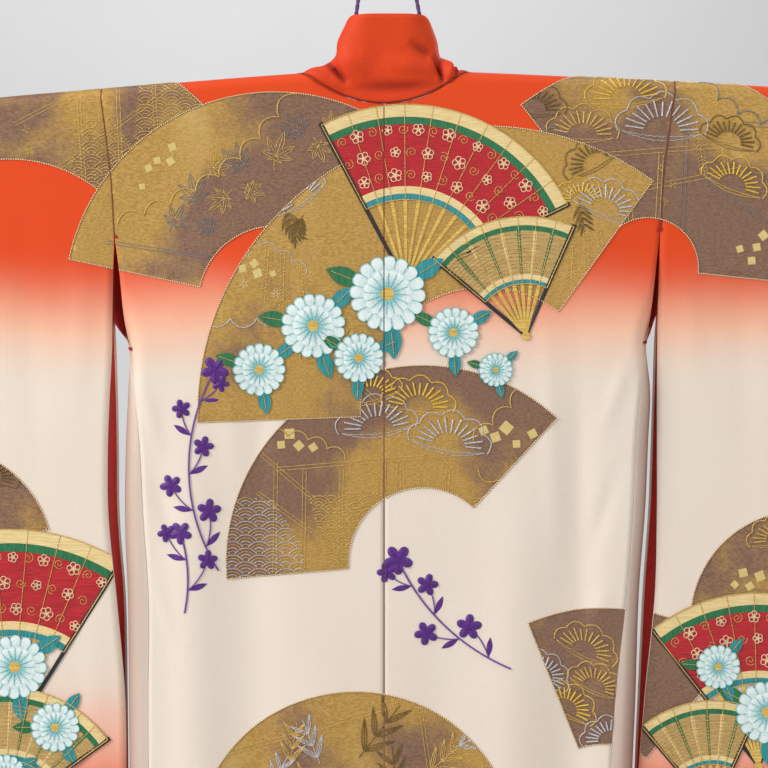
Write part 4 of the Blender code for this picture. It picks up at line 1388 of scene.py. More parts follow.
class Outline:
    """A closed line on the cloth, in millimetres."""

    def __init__(self, points):
        self.points = points
        self.box = (
            min(x for x, _ in points),
            min(down for _, down in points),
            max(x for x, _ in points),
            max(down for _, down in points),
        )

    def holds(self, x, down):
        if not (self.box[0] < x < self.box[2] and self.box[1] < down < self.box[3]):
            return False
        inside = False
        for (x1, down1), (x2, down2) in zip(self.points, self.points[1:] + self.points[:1]):
            if (down1 > down) != (down2 > down) and x < x1 + (x2 - x1) * (down - down1) / (down2 - down1):
                inside = not inside
        return inside


def arc(x, down, radius, start, end, step=FAN_ARC_STEP):
    """Points of an arc, its angles in degrees from the right, anticlockwise."""
    count = max(3, math.ceil(abs(math.radians(end - start)) * radius / step))
    angles = [math.radians(start + (end - start) * k / count) for k in range(count + 1)]
    return [polar(x, down, radius, angle) for angle in angles]


def line(first, second, step=FAN_ARC_STEP):
    count = max(1, math.ceil(math.dist(first, second) / step))
    return [midway(first, second, k / count) for k in range(count + 1)]


def sector(x, down, outer, inner, start, end):
    """A fan leaf's outline."""
    above = arc(x, down, outer, start, end)
    under = arc(x, down, inner, end, start)
    return Outline(above + line(above[-1], under[0])[1:] + under[1:] + line(under[-1], above[0])[1:-1])


def panel_edges(panel, top_down, low_down):
    """A panel's own outline as an Outline, between two heights."""
    kind, hand = panel
    inner, outer = [], []
    count = math.ceil((low_down - top_down) / 6.0)
    for k in range(count + 1):
        down = blend(top_down, low_down, k / count)
        z = SHOULDER_Z - down * MM
        reach = clip_reach(rod_z(hand * NEAR_SEAM) - z)
        if kind == "body":
            seam = side(hand, reach, "back_edge")
            inner.append((hand * SEAM_MARGIN / MM, down))
            outer.append((hand * (seam - SEAM_MARGIN) / MM, down))
        else:
            edge = side(hand, reach, "sleeve_back")
            inner.append((hand * (edge + SEAM_MARGIN + SEAM_GAP) / MM, down))
            outer.append((hand * (SLEEVE_END[hand] - CUFF_MARGIN) / MM, down))
    return inner + outer[::-1]


PANELS = (("body", -1), ("body", 1), ("sleeve", -1), ("sleeve", 1))


def lay_patch(name, outline, above, finish, lift, tone=None, rim=RIM_LIFT, step=PATCH_STEP):
    """A thin patch on the cloth inside an outline, outside those above, and split at the seams."""
    left, top, right, low = outline.box
    points, faces, tones = [], [], []
    for panel in PANELS:
        if panel[1] * (right if panel[1] > 0 else left) <= 0:
            continue
        edge = panel_edges(panel, top - 9, low + 9)
        reach_x = [x for x, _ in edge]
        if max(reach_x) < left or min(reach_x) > right:
            continue
        border = outline.points
        closed = [border, edge] + [other.points for other in above]
        coords, edges = [], []
        for ring in closed:
            base = len(coords)
            coords += [Vector(place) for place in ring]
            edges += [(base + k, base + (k + 1) % len(ring)) for k in range(len(ring))]
        rim_count = len(coords)
        for i in range(int((right - left) / step) + 1):
            for j in range(int((low - top) / step) + 1):
                place = (left + (i + 0.5 * (j % 2)) * step, top + j * step)
                if outline.holds(*place):
                    coords.append(Vector(place))
        for i in range(int((right - left) / step) + 1):
            x = left + i * step
            for k in range(RIDGE_ROWS):
                z = rod_z(x * MM) + 2 * QUARTER * (k + 0.5) / RIDGE_ROWS
                place = (x, (SHOULDER_Z - z) / MM)
                if outline.holds(*place):
                    coords.append(Vector(place))
        made, _, triangles, origins, _, _ = delaunay_2d_cdt(coords, edges, [], 0, 1e-4)
        used = {}
        for triangle in triangles:
            x = sum(made[k].x for k in triangle) / 3
            down = sum(made[k].y for k in triangle) / 3
            if not outline.holds(x, down) or panel_at(*at(x, down)) != panel:
                continue
            if any(other.holds(x, down) for other in above):
                continue
            corners = []
            for k in triangle:
                if k not in used:
                    used[k] = len(points)
                    place_x, place_down = made[k]
                    on_rim = not origins[k] or min(origins[k]) < rim_count
                    x, z = at(place_x, place_down)
                    from_ridge = (rod_z(x) + QUARTER - z) / (1.3 * QUARTER)
                    height = (rim if on_rim else lift) + RIDGE_LIFT * math.exp(-from_ridge * from_ridge)
                    points.append(on_face(x, z, height))
                    tones.append(tone(place_x, place_down) if tone else 0.0)
                corners.append(used[k])
            first, second, third = (points[k] for k in corners)
            if (second - first).cross(third - first).y > 0:
                corners.reverse()
            faces.append(tuple(corners))
    patch = add_mesh(name, points, faces, [finish])
    if tone:
        note_points(patch, "tone", tones)
    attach(patch, "root")
    return patch


foil = Finish("rubbed_foil")
tone_there = foil.attribute("tone")
drift = foil.noise(11.0, detail=4.0, roughness=0.6) - 0.5
rubbed = foil.noise(1.0, detail=3.0, stretch=(260.0, 260.0, 620.0))
browned = (tone_there + drift * 1.5).between(0.15, 0.65)
deep = foil.mix(rubbed.between(0.3, 0.7), dye(122, 88, 70), dye(146, 112, 88))
bright = foil.mix(rubbed.between(0.3, 0.7), dye(178, 136, 62), dye(204, 164, 90))
glint = foil.noise(5.0, detail=2.0, stretch=(1.6, 1.0, 0.7)).between(0.58, 0.78)
lit = foil.mix(glint * 0.55, bright, dye(226, 194, 124))
foil.shine(
    Base_Color=foil.mix(browned, lit, deep),
    Metallic=0.35 - browned * 0.15,
    Roughness=0.42 + rubbed * 0.15,
)
foil.bump(rubbed, 0.00012)
fan_outlines = {fan.name: sector(*fan[1:7]) for fan in FANS}


def fan_tone(fan):
    def tone(x, down):
        reach = math.hypot(x - fan.x, fan.down - down)
        angle = math.degrees(math.atan2(fan.down - down, x - fan.x)) % 360
        angle = angle - 360 if angle > fan.end + 30 else angle
        out = (reach - fan.inner) / (fan.outer - fan.inner)
        round_it = (angle - fan.start) / (fan.end - fan.start)
        shade = (blend(fan.tone_in, fan.tone_out, out) + blend(fan.tone_start, fan.tone_end, round_it)) / 1.4
        for spot in FOIL_SPOTS:
            if spot.fan == fan.name:
                shade += spot.amount * math.exp(
                    -((math.dist((x, down), (spot.x, spot.down)) / spot.reach) ** 2)
                )
        return shade

    return tone


for k, fan in enumerate(FANS):
    above = [fan_outlines[other.name] for other in FANS[:k]]
    lay_patch(f"fan_{fan.name}", fan_outlines[fan.name], above, foil, FOIL_LIFT, tone=fan_tone(fan))


# The embroidered groups of the back and of each sleeve: open court fans among chrysanthemums, in silk
# satin stitch. Each motif is a padded patch of its own, and a later one lies over those before.
SATIN_LIFT = 0.0007
LAYER_STEP = 0.00025
SATIN_RIM = 0.0003
THIN_RIM = 0.0001
GUARD_WIDTH = 6.0
FOLD_ANGLE = 9.0
RIVET_RADIUS = 5.0
CourtFan = namedtuple("CourtFan", "name leaf x down outer inner start end layer")
COURT_FANS = (
    CourtFan("back_a", "crimson", 26, 250, 214, 100, 26, 118, 0),
    CourtFan("back_b", "cream", 168, 312, 142, 62, 66, 140, 3),
    CourtFan("left_a", "crimson", -446, 792, 250, 122, 58, 112, 0),
    CourtFan("left_b", "cream", -452, 882, 152, 66, 36, 104, 3),
    CourtFan("right_a", "crimson", 446, 824, 206, 98, 64, 128, 0),
    CourtFan("right_b", "cream", 392, 878, 132, 56, 66, 130, 3),
)
Bloom = namedtuple("Bloom", "name x down size turn layer")
BLOOMS = (
    Bloom("back_a", 4, 262, 45, 8, 7),
    Bloom("back_b", -84, 300, 38, 20, 6),
    Bloom("back_c", -30, 338, 29, 0, 8),
    Bloom("back_d", -148, 352, 31, 12, 6),
    Bloom("back_e", 82, 308, 30, 5, 7),
    Bloom("back_f", 132, 352, 20, 15, 6),
    Bloom("left_a", -440, 706, 38, 10, 6),
    Bloom("left_b", -392, 778, 29, 30, 7),
    Bloom("left_c", -452, 836, 26, 4, 8),
    Bloom("right_a", 456, 760, 37, 4, 6),
    Bloom("right_b", 398, 706, 26, 25, 7),
    Bloom("right_c", 336, 862, 24, 12, 6),
)
PETALS = 16
LEAF_TURNS = (24, 150, 268)


def bar(x, down, angle, reach, width, end_width=None):
    """A straight rib from one distance of a rivet to another."""
    along = (math.cos(math.radians(angle)), -math.sin(math.radians(angle)))
    across = (-along[1], along[0])
    last = width if end_width is None else end_width
    points = []
    for distance, half in ((reach[0], width / 2), (reach[1], last / 2)):
        middle = (x + along[0] * distance, down + along[1] * distance)
        points.append(
            [(middle[0] + sign * across[0] * half, middle[1] + sign * across[1] * half) for sign in (-1, 1)]
        )
    return Outline([points[0][0], points[0][1], points[1][1], points[1][0]])


def petalled(x, down, size, petals, turn, notch, sharpness):
    """A flower's outline: petals round a middle, blunt where sharpness is low and pointed where high."""
    made = []
    for k in range(petals * 8):
        across = abs(2 * (k % 8) / 8 - 1)
        reach = size * (notch + (1 - notch) * (1 - across**2) ** sharpness)
        angle = math.radians(turn + 360 * k / (petals * 8))
        made.append(polar(x, down, reach, angle))
    return Outline(made)


def spindle(x, down, angle, reach, width, steps=9):
    """A pointed leaf that starts and ends at two distances from a middle."""
    sides = []
    for sign in (-1, 1):
        course = []
        for k in range(steps + 1):
            part = k / steps
            along, off = blend(*reach, part), sign * width / 2 * math.sin(math.pi * part)
            turn = math.radians(angle)
            course.append(
                (
                    x + along * math.cos(turn) - off * math.sin(turn),
                    down - along * math.sin(turn) - off * math.cos(turn),
                )
            )
        sides.append(course)
    return Outline(sides[0] + sides[1][-2:0:-1])


fan_leaves = {fan.name: sector(*fan[2:8]) for fan in COURT_FANS}
bloom_outlines = {
    bloom.name: petalled(bloom.x, bloom.down, bloom.size, PETALS, bloom.turn, 0.86, 0.5) for bloom in BLOOMS
}
bloom_leaves = {}
for bloom in BLOOMS:
    reach, width = (0.7 * bloom.size, 1.75 * bloom.size), 0.5 * bloom.size
    bloom_leaves[bloom.name] = [
        spindle(bloom.x, bloom.down, bloom.turn + turn, reach, width) for turn in LEAF_TURNS
    ]
PICTURE_SHAPES = [*fan_leaves.values(), *bloom_outlines.values()]
PICTURE_SHAPES += [leaf for leaves in bloom_leaves.values() for leaf in leaves]


def satin(name, light, dark, direction, roughness=0.38, scale=1.0):
    """Rows of satin stitch: silk threads side by side that run across x, or up and down."""
    made = Finish(name, Sheen_Weight=0.15)
    stretch = {"across": (60.0, 60.0, 1400.0), "down": (1400.0, 60.0, 60.0), "round": (700.0, 700.0, 700.0)}
    rows = made.noise(scale, detail=2.0, stretch=stretch[direction])
    soft = made.noise(22.0, detail=3.0)
    shade = made.mix(rows.between(0.32, 0.68), dye(*dark), dye(*light))
    made.shine(
        Base_Color=made.mix(soft.between(0.3, 0.8) * 0.25, shade, dye(*dark)),
        Roughness=roughness + rows * 0.2,
    )
    made.bump(rows, 0.0005)
    return made


SATINS = {
    "crimson": satin("crimson_satin", (204, 20, 34), (158, 8, 22), "across"),
    "cream": satin("cream_satin", (244, 220, 160), (222, 192, 126), "across"),
    "green": satin("green_satin", (30, 126, 74), (14, 92, 52), "down"),
    "teal": satin("teal_satin", (44, 158, 160), (20, 118, 124), "down"),
    "tan": satin("tan_satin", (206, 174, 112), (174, 138, 78), "across"),
    "black": satin("black_satin", (36, 30, 32), (14, 10, 12), "down"),
    "goldleaf": satin("gold_satin", (236, 200, 104), (196, 154, 58), "across", roughness=0.3),
}
petal_silk = Finish("petal_satin", Sheen_Weight=0.15)
from_middle = petal_silk.attribute("tone")
hatch = petal_silk.noise(1.0, detail=2.0, stretch=(420.0, 420.0, 420.0))
shaded = (from_middle + (hatch - 0.5) * 0.7).between(0.10, 0.95)
petal_silk.shine(
    Base_Color=petal_silk.mix(shaded, dye(96, 178, 180), dye(232, 240, 236)),
    Roughness=0.36 + hatch * 0.2,
)
petal_silk.bump(hatch, 0.0004)


def satin_patch(name, outline, colour, layer):
    """A padded satin patch of one colour at its layer's height, its rim above the layer below."""
    lift = SATIN_LIFT + LAYER_STEP * layer
    return lay_patch(name, outline, [], SATINS[colour], lift, rim=lift - THIN_RIM, step=7.0)


for fan in COURT_FANS:
    plain = fan.leaf == "cream"
    mark = f"court_fan_{fan.name}"
    satin_patch(f"{mark}_leaf", fan_leaves[fan.name], "tan" if plain else "crimson", fan.layer)
    band = (fan.outer - fan.inner) * 0.13
    rows = [("cream", fan.outer, fan.outer - band), ("green", fan.outer - band, fan.outer - 1.6 * band)]
    rows += [
        ("teal", fan.inner + 0.5 * band, fan.inner),
        ("cream", fan.inner + 1.1 * band, fan.inner + 0.5 * band)
    ]
    for k, (colour, outer, inner) in enumerate(rows):
        outline = sector(fan.x, fan.down, outer, inner, fan.start, fan.end)
        satin_patch(f"{mark}_band_{k}", outline, colour, fan.layer + 1)
    folds = round((fan.end - fan.start) / FOLD_ANGLE)
    if plain:
        for k in range(1, folds):
            angle = blend(fan.start, fan.end, k / folds)
            rib = bar(fan.x, fan.down, angle, (fan.inner + 1.1 * band, fan.outer - 1.6 * band), 2.6, 4.4)
            satin_patch(f"{mark}_stripe_{k}", rib, "green" if k % 2 else "cream", fan.layer + 1)
    for k in range(folds + 1):
        angle = blend(fan.start, fan.end, k / folds)
        guard = k in (0, folds)
        reach = (RIVET_RADIUS * 0.5, fan.outer + 3.0 if guard else fan.inner)
        width = GUARD_WIDTH * 0.7 if guard else 2.6
        rib = bar(fan.x, fan.down, angle, reach, width, width * (1.3 if guard else 1.8))
        satin_patch(f"{mark}_rib_{k}", rib, "black" if guard else "goldleaf", fan.layer + 2)
    rivet = Outline(arc(fan.x, fan.down, RIVET_RADIUS, 0, 330, 2.0))
    satin_patch(f"{mark}_rivet", rivet, "goldleaf", fan.layer + 3)


for bloom in BLOOMS:
    mark = f"bloom_{bloom.name}"
    for k, leaf in enumerate(bloom_leaves[bloom.name]):
        satin_patch(f"{mark}_leaf_{k}", leaf, "green" if k % 2 else "teal", bloom.layer - 1)
    for k, (share, swing) in enumerate(((1.0, 0.0), (0.64, 0.5))):
        size = share * bloom.size
        ring = petalled(bloom.x, bloom.down, size, PETALS, bloom.turn + swing * 360 / PETALS, 0.86, 0.5)

        def to_rim(x, down, bloom=bloom, size=size):
            """0 at the flower's middle and 1 at its petals' ends."""
            return math.dist((x, down), (bloom.x, bloom.down)) / size

        lift = SATIN_LIFT + LAYER_STEP * (bloom.layer + k)
        lay_patch(
            f"{mark}_ring_{k}", ring, [], petal_silk, lift, tone=to_rim, rim=lift - SATIN_RIM, step=4.5
        )
    core = Outline(arc(bloom.x, bloom.down, 0.17 * bloom.size, 0, 330, 2.0))
    satin_patch(f"{mark}_core", core, "goldleaf", bloom.layer + 2)

# Couched outlines: a thick pale gold cord, twisted, laid round each fan and held by red silk that
# shows between its turns. The cord is beads along a dark core, by one Geometry Nodes tree.
CORE_RADIUS = 0.00055
BEAD_LENGTH = 0.0030
BEAD_RADIUS = 0.00088
BEAD_SPACING = 0.0028
CORD_LIFT = 0.0006


def node_tree(name, inputs):
    """A Geometry Nodes tree with named inputs, and its input and output nodes."""
    tree = bpy.data.node_groups.new(name, "GeometryNodeTree")
    tree.interface.new_socket("Geometry", in_out="INPUT", socket_type="NodeSocketGeometry")
    for label, kind in inputs.items():
        tree.interface.new_socket(label, in_out="INPUT", socket_type=kind)
    tree.interface.new_socket("Geometry", in_out="OUTPUT", socket_type="NodeSocketGeometry")
    return tree, tree.nodes.new("NodeGroupInput"), tree.nodes.new("NodeGroupOutput")


def tree_node(tree, kind, links=(), **settings):
    """A node of a tree, with its settings, and what each of its inputs takes."""
    made = tree.nodes.new(kind)
    for name, value in settings.items():
        setattr(made, name, value)
    for name, value in dict(links).items():
        if isinstance(value, bpy.types.NodeSocket):
            tree.links.new(value, made.inputs[name])
        else:
            made.inputs[name].default_value = value
    return made


def end_tree(tree, source, given, result):
    """Makes a tree's instances real and gives them the finish that comes in."""
    real = tree_node(tree, "GeometryNodeRealizeInstances", {"Geometry": source})
    finish = given.outputs["Finish"]
    coated = tree_node(tree, "GeometryNodeSetMaterial", {"Geometry": real.outputs[0], "Material": finish})
    tree.links.new(coated.outputs[0], result.inputs[0])


def bake(piece, tree, **inputs):
    """Runs a tree on a piece and makes the result its own plain mesh."""
    modifier = piece.modifiers.new("nodes", "NODES")
    modifier.node_group = tree
    for label, value in inputs.items():
        item = tree.interface.items_tree[label.replace("_", " ")]
        modifier[item.identifier] = value
    depsgraph = bpy.context.evaluated_depsgraph_get()
    old = piece.data
    mesh = bpy.data.meshes.new_from_object(piece.evaluated_get(depsgraph))
    piece.modifiers.clear()
    piece.data = mesh
    bpy.data.meshes.remove(old)
    mesh.shade_smooth()
    return piece


bead_inputs = dict.fromkeys(("Radius", "Length", "Spacing"), "NodeSocketFloat")
beads, given, result = node_tree("twisted_cord", {**bead_inputs, "Finish": "NodeSocketMaterial"})
path = tree_node(beads, "GeometryNodeMeshToCurve", {"Mesh": given.outputs["Geometry"]})
spaced = tree_node(
    beads,
    "GeometryNodeCurveToPoints",
    {"Curve": path.outputs[0], "Length": given.outputs["Spacing"]},
    mode="LENGTH",
)
bead = tree_node(beads, "GeometryNodeMeshIcoSphere", {"Radius": 1.0, "Subdivisions": 1})
size = tree_node(
    beads,
    "ShaderNodeCombineXYZ",
    {"X": given.outputs["Radius"], "Y": given.outputs["Radius"], "Z": given.outputs["Length"]},
)
slant = tree_node(
    beads, "FunctionNodeRotateRotation", {"Rotation": spaced.outputs["Rotation"]},
    rotation_space="LOCAL"
)
slant.inputs[1].default_value = (0.0, 0.5, 0.0)
placed = tree_node(
    beads,
    "GeometryNodeInstanceOnPoints",
    {
        "Points": spaced.outputs["Points"],
        "Instance": bead.outputs["Mesh"],
        "Rotation": slant.outputs[0],
        "Scale": size.outputs[0],
    },
)
end_tree(beads, placed.outputs[0], given, result)

threads, given, result = node_tree(
    "laid_thread", {"Radius": "NodeSocketFloat", "Finish": "NodeSocketMaterial"}
)
path = tree_node(threads, "GeometryNodeMeshToCurve", {"Mesh": given.outputs["Geometry"]})
profile = tree_node(
    threads, "GeometryNodeCurvePrimitiveCircle", {"Resolution": 5, "Radius": given.outputs["Radius"]}
)
tube = tree_node(
    threads,
    "GeometryNodeCurveToMesh",
    {"Curve": path.outputs[0], "Profile Curve": profile.outputs[0], "Fill Caps": True},
)
end_tree(threads, tube.outputs[0], given, result)


def thread_finish(name, light, dark, metallic, roughness):
    """Metal leaf or silk wound round a core, with the wind showing."""
    made = Finish(name)
    wind = made.noise(900.0, detail=2.0)
    made.shine(
        Base_Color=made.mix(wind.between(0.3, 0.7), dye(*dark), dye(*light)),
        Metallic=metallic,
        Roughness=roughness + wind * 0.15,
    )
    made.bump(wind, 0.0002)
    return made


THREADS = {
    "gold": thread_finish("gold_thread", (236, 204, 122), (176, 134, 54), 0.30, 0.32),
    "bright": thread_finish("bright_gold_thread", (248, 214, 92), (200, 156, 36), 0.25, 0.32),
    "silver": thread_finish("silver_thread", (226, 224, 226), (156, 150, 154), 0.30, 0.32),
    "bronze": thread_finish("bronze_thread", (142, 112, 56), (92, 68, 34), 0.20, 0.45),
    "slate": thread_finish("slate_thread", (148, 142, 144), (104, 98, 102), 0.15, 0.45),
    "pale": thread_finish("pale_gold_cord", (252, 236, 200), (224, 190, 132), 0.20, 0.35),
    "core": thread_finish("couching_silk", (120, 44, 30), (70, 22, 16), 0.0, 0.6),
    "cream": thread_finish("cream_silk_thread", (250, 226, 186), (226, 190, 140), 0.0, 0.45),
    "red": thread_finish("red_silk_thread", (190, 30, 26), (130, 12, 14), 0.0, 0.5),
    "violet": thread_finish("violet_silk_thread", (134, 82, 172), (82, 36, 122), 0.0, 0.5),
    "lilac": thread_finish("lilac_silk_thread", (112, 46, 152), (66, 18, 104), 0.0, 0.5),
    "turquoise": thread_finish("turquoise_silk_thread", (150, 222, 220), (76, 178, 180), 0.0, 0.45),
    "seam": thread_finish("seam_silk", (150, 84, 60), (96, 44, 30), 0.0, 0.7),
}


def clipped(points, inside=None, above=()):
    """The stretches of a line that lie in one outline, out of the others, and on one panel each."""
    stretches, current, last_panel = [], [], None
    for x, down in points:
        panel = panel_at(*at(x, down))
        shown = panel and (inside is None or inside.holds(x, down))
        shown = shown and not any(other.holds(x, down) for other in above)
        if shown and (panel == last_panel or not current):
            current.append((x, down))
        else:
            if len(current) > 1:
                stretches.append(current)
            current = [(x, down)] if shown else []
        last_panel = panel
    if len(current) > 1:
        stretches.append(current)
    return stretches


def lay_along(name, lines, tree, finish, **sizes):
    """Thread or cord by one of the trees, along lines of points in space."""
    points, edges = [], []
    for places in lines:
        edges += [(len(points) + k, len(points) + k + 1) for k in range(len(places) - 1)]
        points += places
    mesh = bpy.data.meshes.new(name)
    mesh.from_pydata(points, edges, [])
    piece = bpy.data.objects.new(name, mesh)
    bpy.context.scene.collection.objects.link(piece)
    bake(piece, tree, **sizes, Finish=THREADS[finish].material)
    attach(piece, "root")


def on_cloth(stretches, lift):
    return [[on_face(*at(*place), lift) for place in stretch] for stretch in stretches]


def sew(name, stretches, thread, radius, lift=None):
    """Threads laid on the cloth along lines."""
    height = FOIL_LIFT + radius * 0.6 if lift is None else lift
    lay_along(name, on_cloth(stretches, height), threads, thread, Radius=radius)


def couch(name, stretches, lift=CORD_LIFT):
    """A twisted pale cord over a dark core along lines."""
    sew(f"{name}_core", stretches, "core", CORE_RADIUS, lift)
    sizes = {"Radius": BEAD_RADIUS, "Length": BEAD_LENGTH / 2, "Spacing": BEAD_SPACING}
    lay_along(name, on_cloth(stretches, lift + 0.0001), beads, "pale", **sizes)


def closed_line(outline, step=2.4):
    """An outline as a line of points that ends where it began."""
    ring = outline.points
    places = [place for a, b in zip(ring, ring[1:] + ring[:1]) for place in line(a, b, step)[:-1]]
    return places + places[:1]


fan_lines = []
for k, fan in enumerate(FANS):
    above = [fan_outlines[other.name] for other in FANS[:k]] + PICTURE_SHAPES
    fan_lines += clipped(closed_line(fan_outlines[fan.name], 2.0), above=above)
couch("fan_cord", fan_lines)

# Metal thread and small flowers that finish the embroidered groups: couched gold round each motif,
# folds, scrolls and blossoms on the fans, and the lines between the petals of the flowers.
OUTLINE_RADIUS = 0.00065
FINE_RADIUS = 0.00042


def layer_lift(layer, radius):
    return SATIN_LIFT + LAYER_STEP * layer + radius * 0.5


def covered(layer, own):
    """The outlines of the groups that lie over a layer."""
    shapes = [fan_leaves[fan.name] for fan in COURT_FANS if fan.layer > layer and fan.name != own]
    return shapes + [
        bloom_outlines[bloom.name] for bloom in BLOOMS if bloom.layer > layer and bloom.name != own
    ]


def blossom(x, down, size, turn):
    """Five round petals and strokes for stamens."""
    strokes = []
    for k in range(5):
        angle = math.radians(turn + 72 * k)
        strokes.append(arc(*polar(x, down, 0.58 * size, angle), 0.40 * size, 0, 360, 1.6))
        strokes.append([(x, down), polar(x, down, 0.34 * size, angle)])
    return strokes


for fan in COURT_FANS:
    above = covered(fan.layer, fan.name)
    edge = clipped(closed_line(fan_leaves[fan.name]), above=above)
    sew(
        f"court_fan_{fan.name}_edge", edge, "gold", OUTLINE_RADIUS,
        layer_lift(fan.layer + 1, OUTLINE_RADIUS)
    )
    folds = round((fan.end - fan.start) / FOLD_ANGLE)
    creases, blooms, scrolls = [], [], []
    for k in range(1, folds):
        angle = math.radians(blend(fan.start, fan.end, k / folds))
        ends = [polar(fan.x, fan.down, reach, angle) for reach in (fan.inner, fan.outer)]
        creases += clipped(line(*ends, 3.0), above=above)
    sew(f"court_fan_{fan.name}_folds", creases, "gold", FINE_RADIUS, layer_lift(fan.layer + 1, FINE_RADIUS))
    reach_step = (fan.outer - fan.inner) / 4.6
    for j in range(3):
        reach = fan.inner + (1.2 + 1.1 * j) * reach_step
        spaces = max(2, round(math.radians(fan.end - fan.start) * reach / 19.0))
        for k in range(spaces):
            angle = blend(fan.start, fan.end, (k + 0.32 + 0.36 * (j % 2)) / spaces)
            place = polar(fan.x, fan.down, reach, math.radians(angle))
            if fan.leaf == "crimson" and (k + j) % 2 == 0:
                flower = blossom(*place, 6.2 + (k * 7 + j * 3) % 3, 31 * k + 17 * j)
                blooms += [part for stroke in flower for part in clipped(stroke, above=above)]
            elif fan.leaf == "crimson":
                curl = [polar(*place, 1 + 0.42 * n, math.radians(40 * n + 53 * k)) for n in range(14)]
                scrolls += clipped(curl, above=above)
    if fan.leaf == "cream":
        for j in range(1, 12):
            reach = blend(fan.inner, fan.outer, 0.14 + 0.66 * j / 12)
            scrolls += clipped(arc(fan.x, fan.down, reach, fan.start, fan.end, 4.0), above=above)
    if blooms:
        sew(f"court_fan_{fan.name}_blossoms", blooms, "cream", 0.00055, layer_lift(fan.layer + 1, 0.0005))
    sew(f"court_fan_{fan.name}_scrolls", scrolls, "gold", FINE_RADIUS, layer_lift(fan.layer, FINE_RADIUS))
for bloom in BLOOMS:
    above = covered(bloom.layer, bloom.name)
    mark = f"bloom_{bloom.name}"

    def spokes(turns, inner, outer, bloom=bloom, above=above):
        """Straight stitches that run out from the flower's middle."""
        made = []
        for turn in turns:
            angle = math.radians(bloom.turn + turn)
            ends = [polar(bloom.x, bloom.down, part * bloom.size, angle) for part in (inner, outer)]
            made += clipped(line(*ends, 2.4), above=above)
        return made

    steps = [360 * k / PETALS for k in range(PETALS)]
    folds = spokes(steps, 0.66, 0.87) + spokes([turn + 180 / PETALS for turn in steps], 0.20, 0.55)
    sew(f"{mark}_folds", folds, "turquoise", FINE_RADIUS, layer_lift(bloom.layer + 2, FINE_RADIUS))
    low = layer_lift(bloom.layer, FINE_RADIUS)
    sew(
        f"{mark}_edge", clipped(closed_line(bloom_outlines[bloom.name]), above=above), "turquoise",
        FINE_RADIUS, low
    )
    sew(f"{mark}_veins", spokes(LEAF_TURNS, 1.02, 1.6), "gold", FINE_RADIUS, low)

# Fillings drawn on the fans in metal thread and paint: pine clouds, maple leaves, wave scales,
# garden lattice, cloud edges, bamboo and willow, each an old ornament drawn here by its own rule.
FILL_RADIUS = 0.00042
HEAVY_RADIUS = 0.00075
NEEDLE_RADIUS = 0.0011
PINE_LOBES = 5
PINE_HEIGHT = 0.50
PINE_NEEDLES = 13


def turned(points, x, down, degrees, scale=1.0):
    """Points drawn round nothing, up positive, turned and put at a place of the cloth."""
    cosine, sine = math.cos(math.radians(degrees)), math.sin(math.radians(degrees))
    return [
        (x + scale * (px * cosine - py * sine), down - scale * (px * sine + py * cosine))
        for px, py in points
    ]


def bay(first, second, bulge, blunt, steps, flip=1):
    """A rounded bulge from one place to another."""
    chord = math.dist(first, second)
    out = ((second[1] - first[1]) / chord * flip, -(second[0] - first[0]) / chord * flip)
    made = []
    for k in range(steps + 1):
        rise = bulge * chord * math.sin(math.pi * k / steps) ** blunt if 0 < k < steps else 0.0
        x, down = midway(first, second, k / steps)
        made.append((x + out[0] * rise, down + out[1] * rise))
    return made


def lobed(count, half, height, bulge=0.30, steps=8):
    """A cloud's upper edge: rounded lobes along half an ellipse, from right to left."""
    corners = []
    for k in range(count + 1):
        turn = math.pi * k / count
        corners.append((half * math.cos(turn), height * math.sin(turn)))
    made = [corners[0]]
    for first, second in zip(corners, corners[1:]):
        made += bay(first, second, bulge, 0.8, steps)[1:]
    return made


def pine_cloud(x, down, width, degrees=0.0):
    """A pine bough as a cloud: a lobed edge, a stitched underside and needles like spokes."""
    half, height = width / 2, width * PINE_HEIGHT * 0.8
    edge = turned(lobed(PINE_LOBES, half, height), x, down, degrees)
    under = []
    for row in range(2):
        low = [
            (half * (0.94 - 1.88 * k / 24), -width * (0.05 + 0.045 * row) * math.sin(math.pi * k / 24))
            for k in range(25)
        ]
        scalloped = [(px, py + width * 0.010 * (k % 2)) for k, (px, py) in enumerate(low)]
        under.append(turned(scalloped, x, down, degrees))
    needles = []
    for k in range(PINE_NEEDLES):
        turn = math.pi * (k + 0.5) / PINE_NEEDLES
        spoke = [
            (half * reach * math.cos(turn), 0.02 * width + height * reach * math.sin(turn))
            for reach in (0.42, 0.56, 0.70, 0.84 + 0.05 * (k % 2))
        ]
        needles.append(turned(spoke, x, down, degrees))
    return [edge, *under], needles


LeafTip = namedtuple("LeafTip", "angle reach")
MAPLE_TIPS = (
    LeafTip(-38, 0.42),
    LeafTip(4, 0.72),
    LeafTip(46, 0.92),
    LeafTip(90, 1.08),
    LeafTip(134, 0.92),
    LeafTip(176, 0.72),
    LeafTip(218, 0.42),
)
MAPLE_NOTCH = 0.34


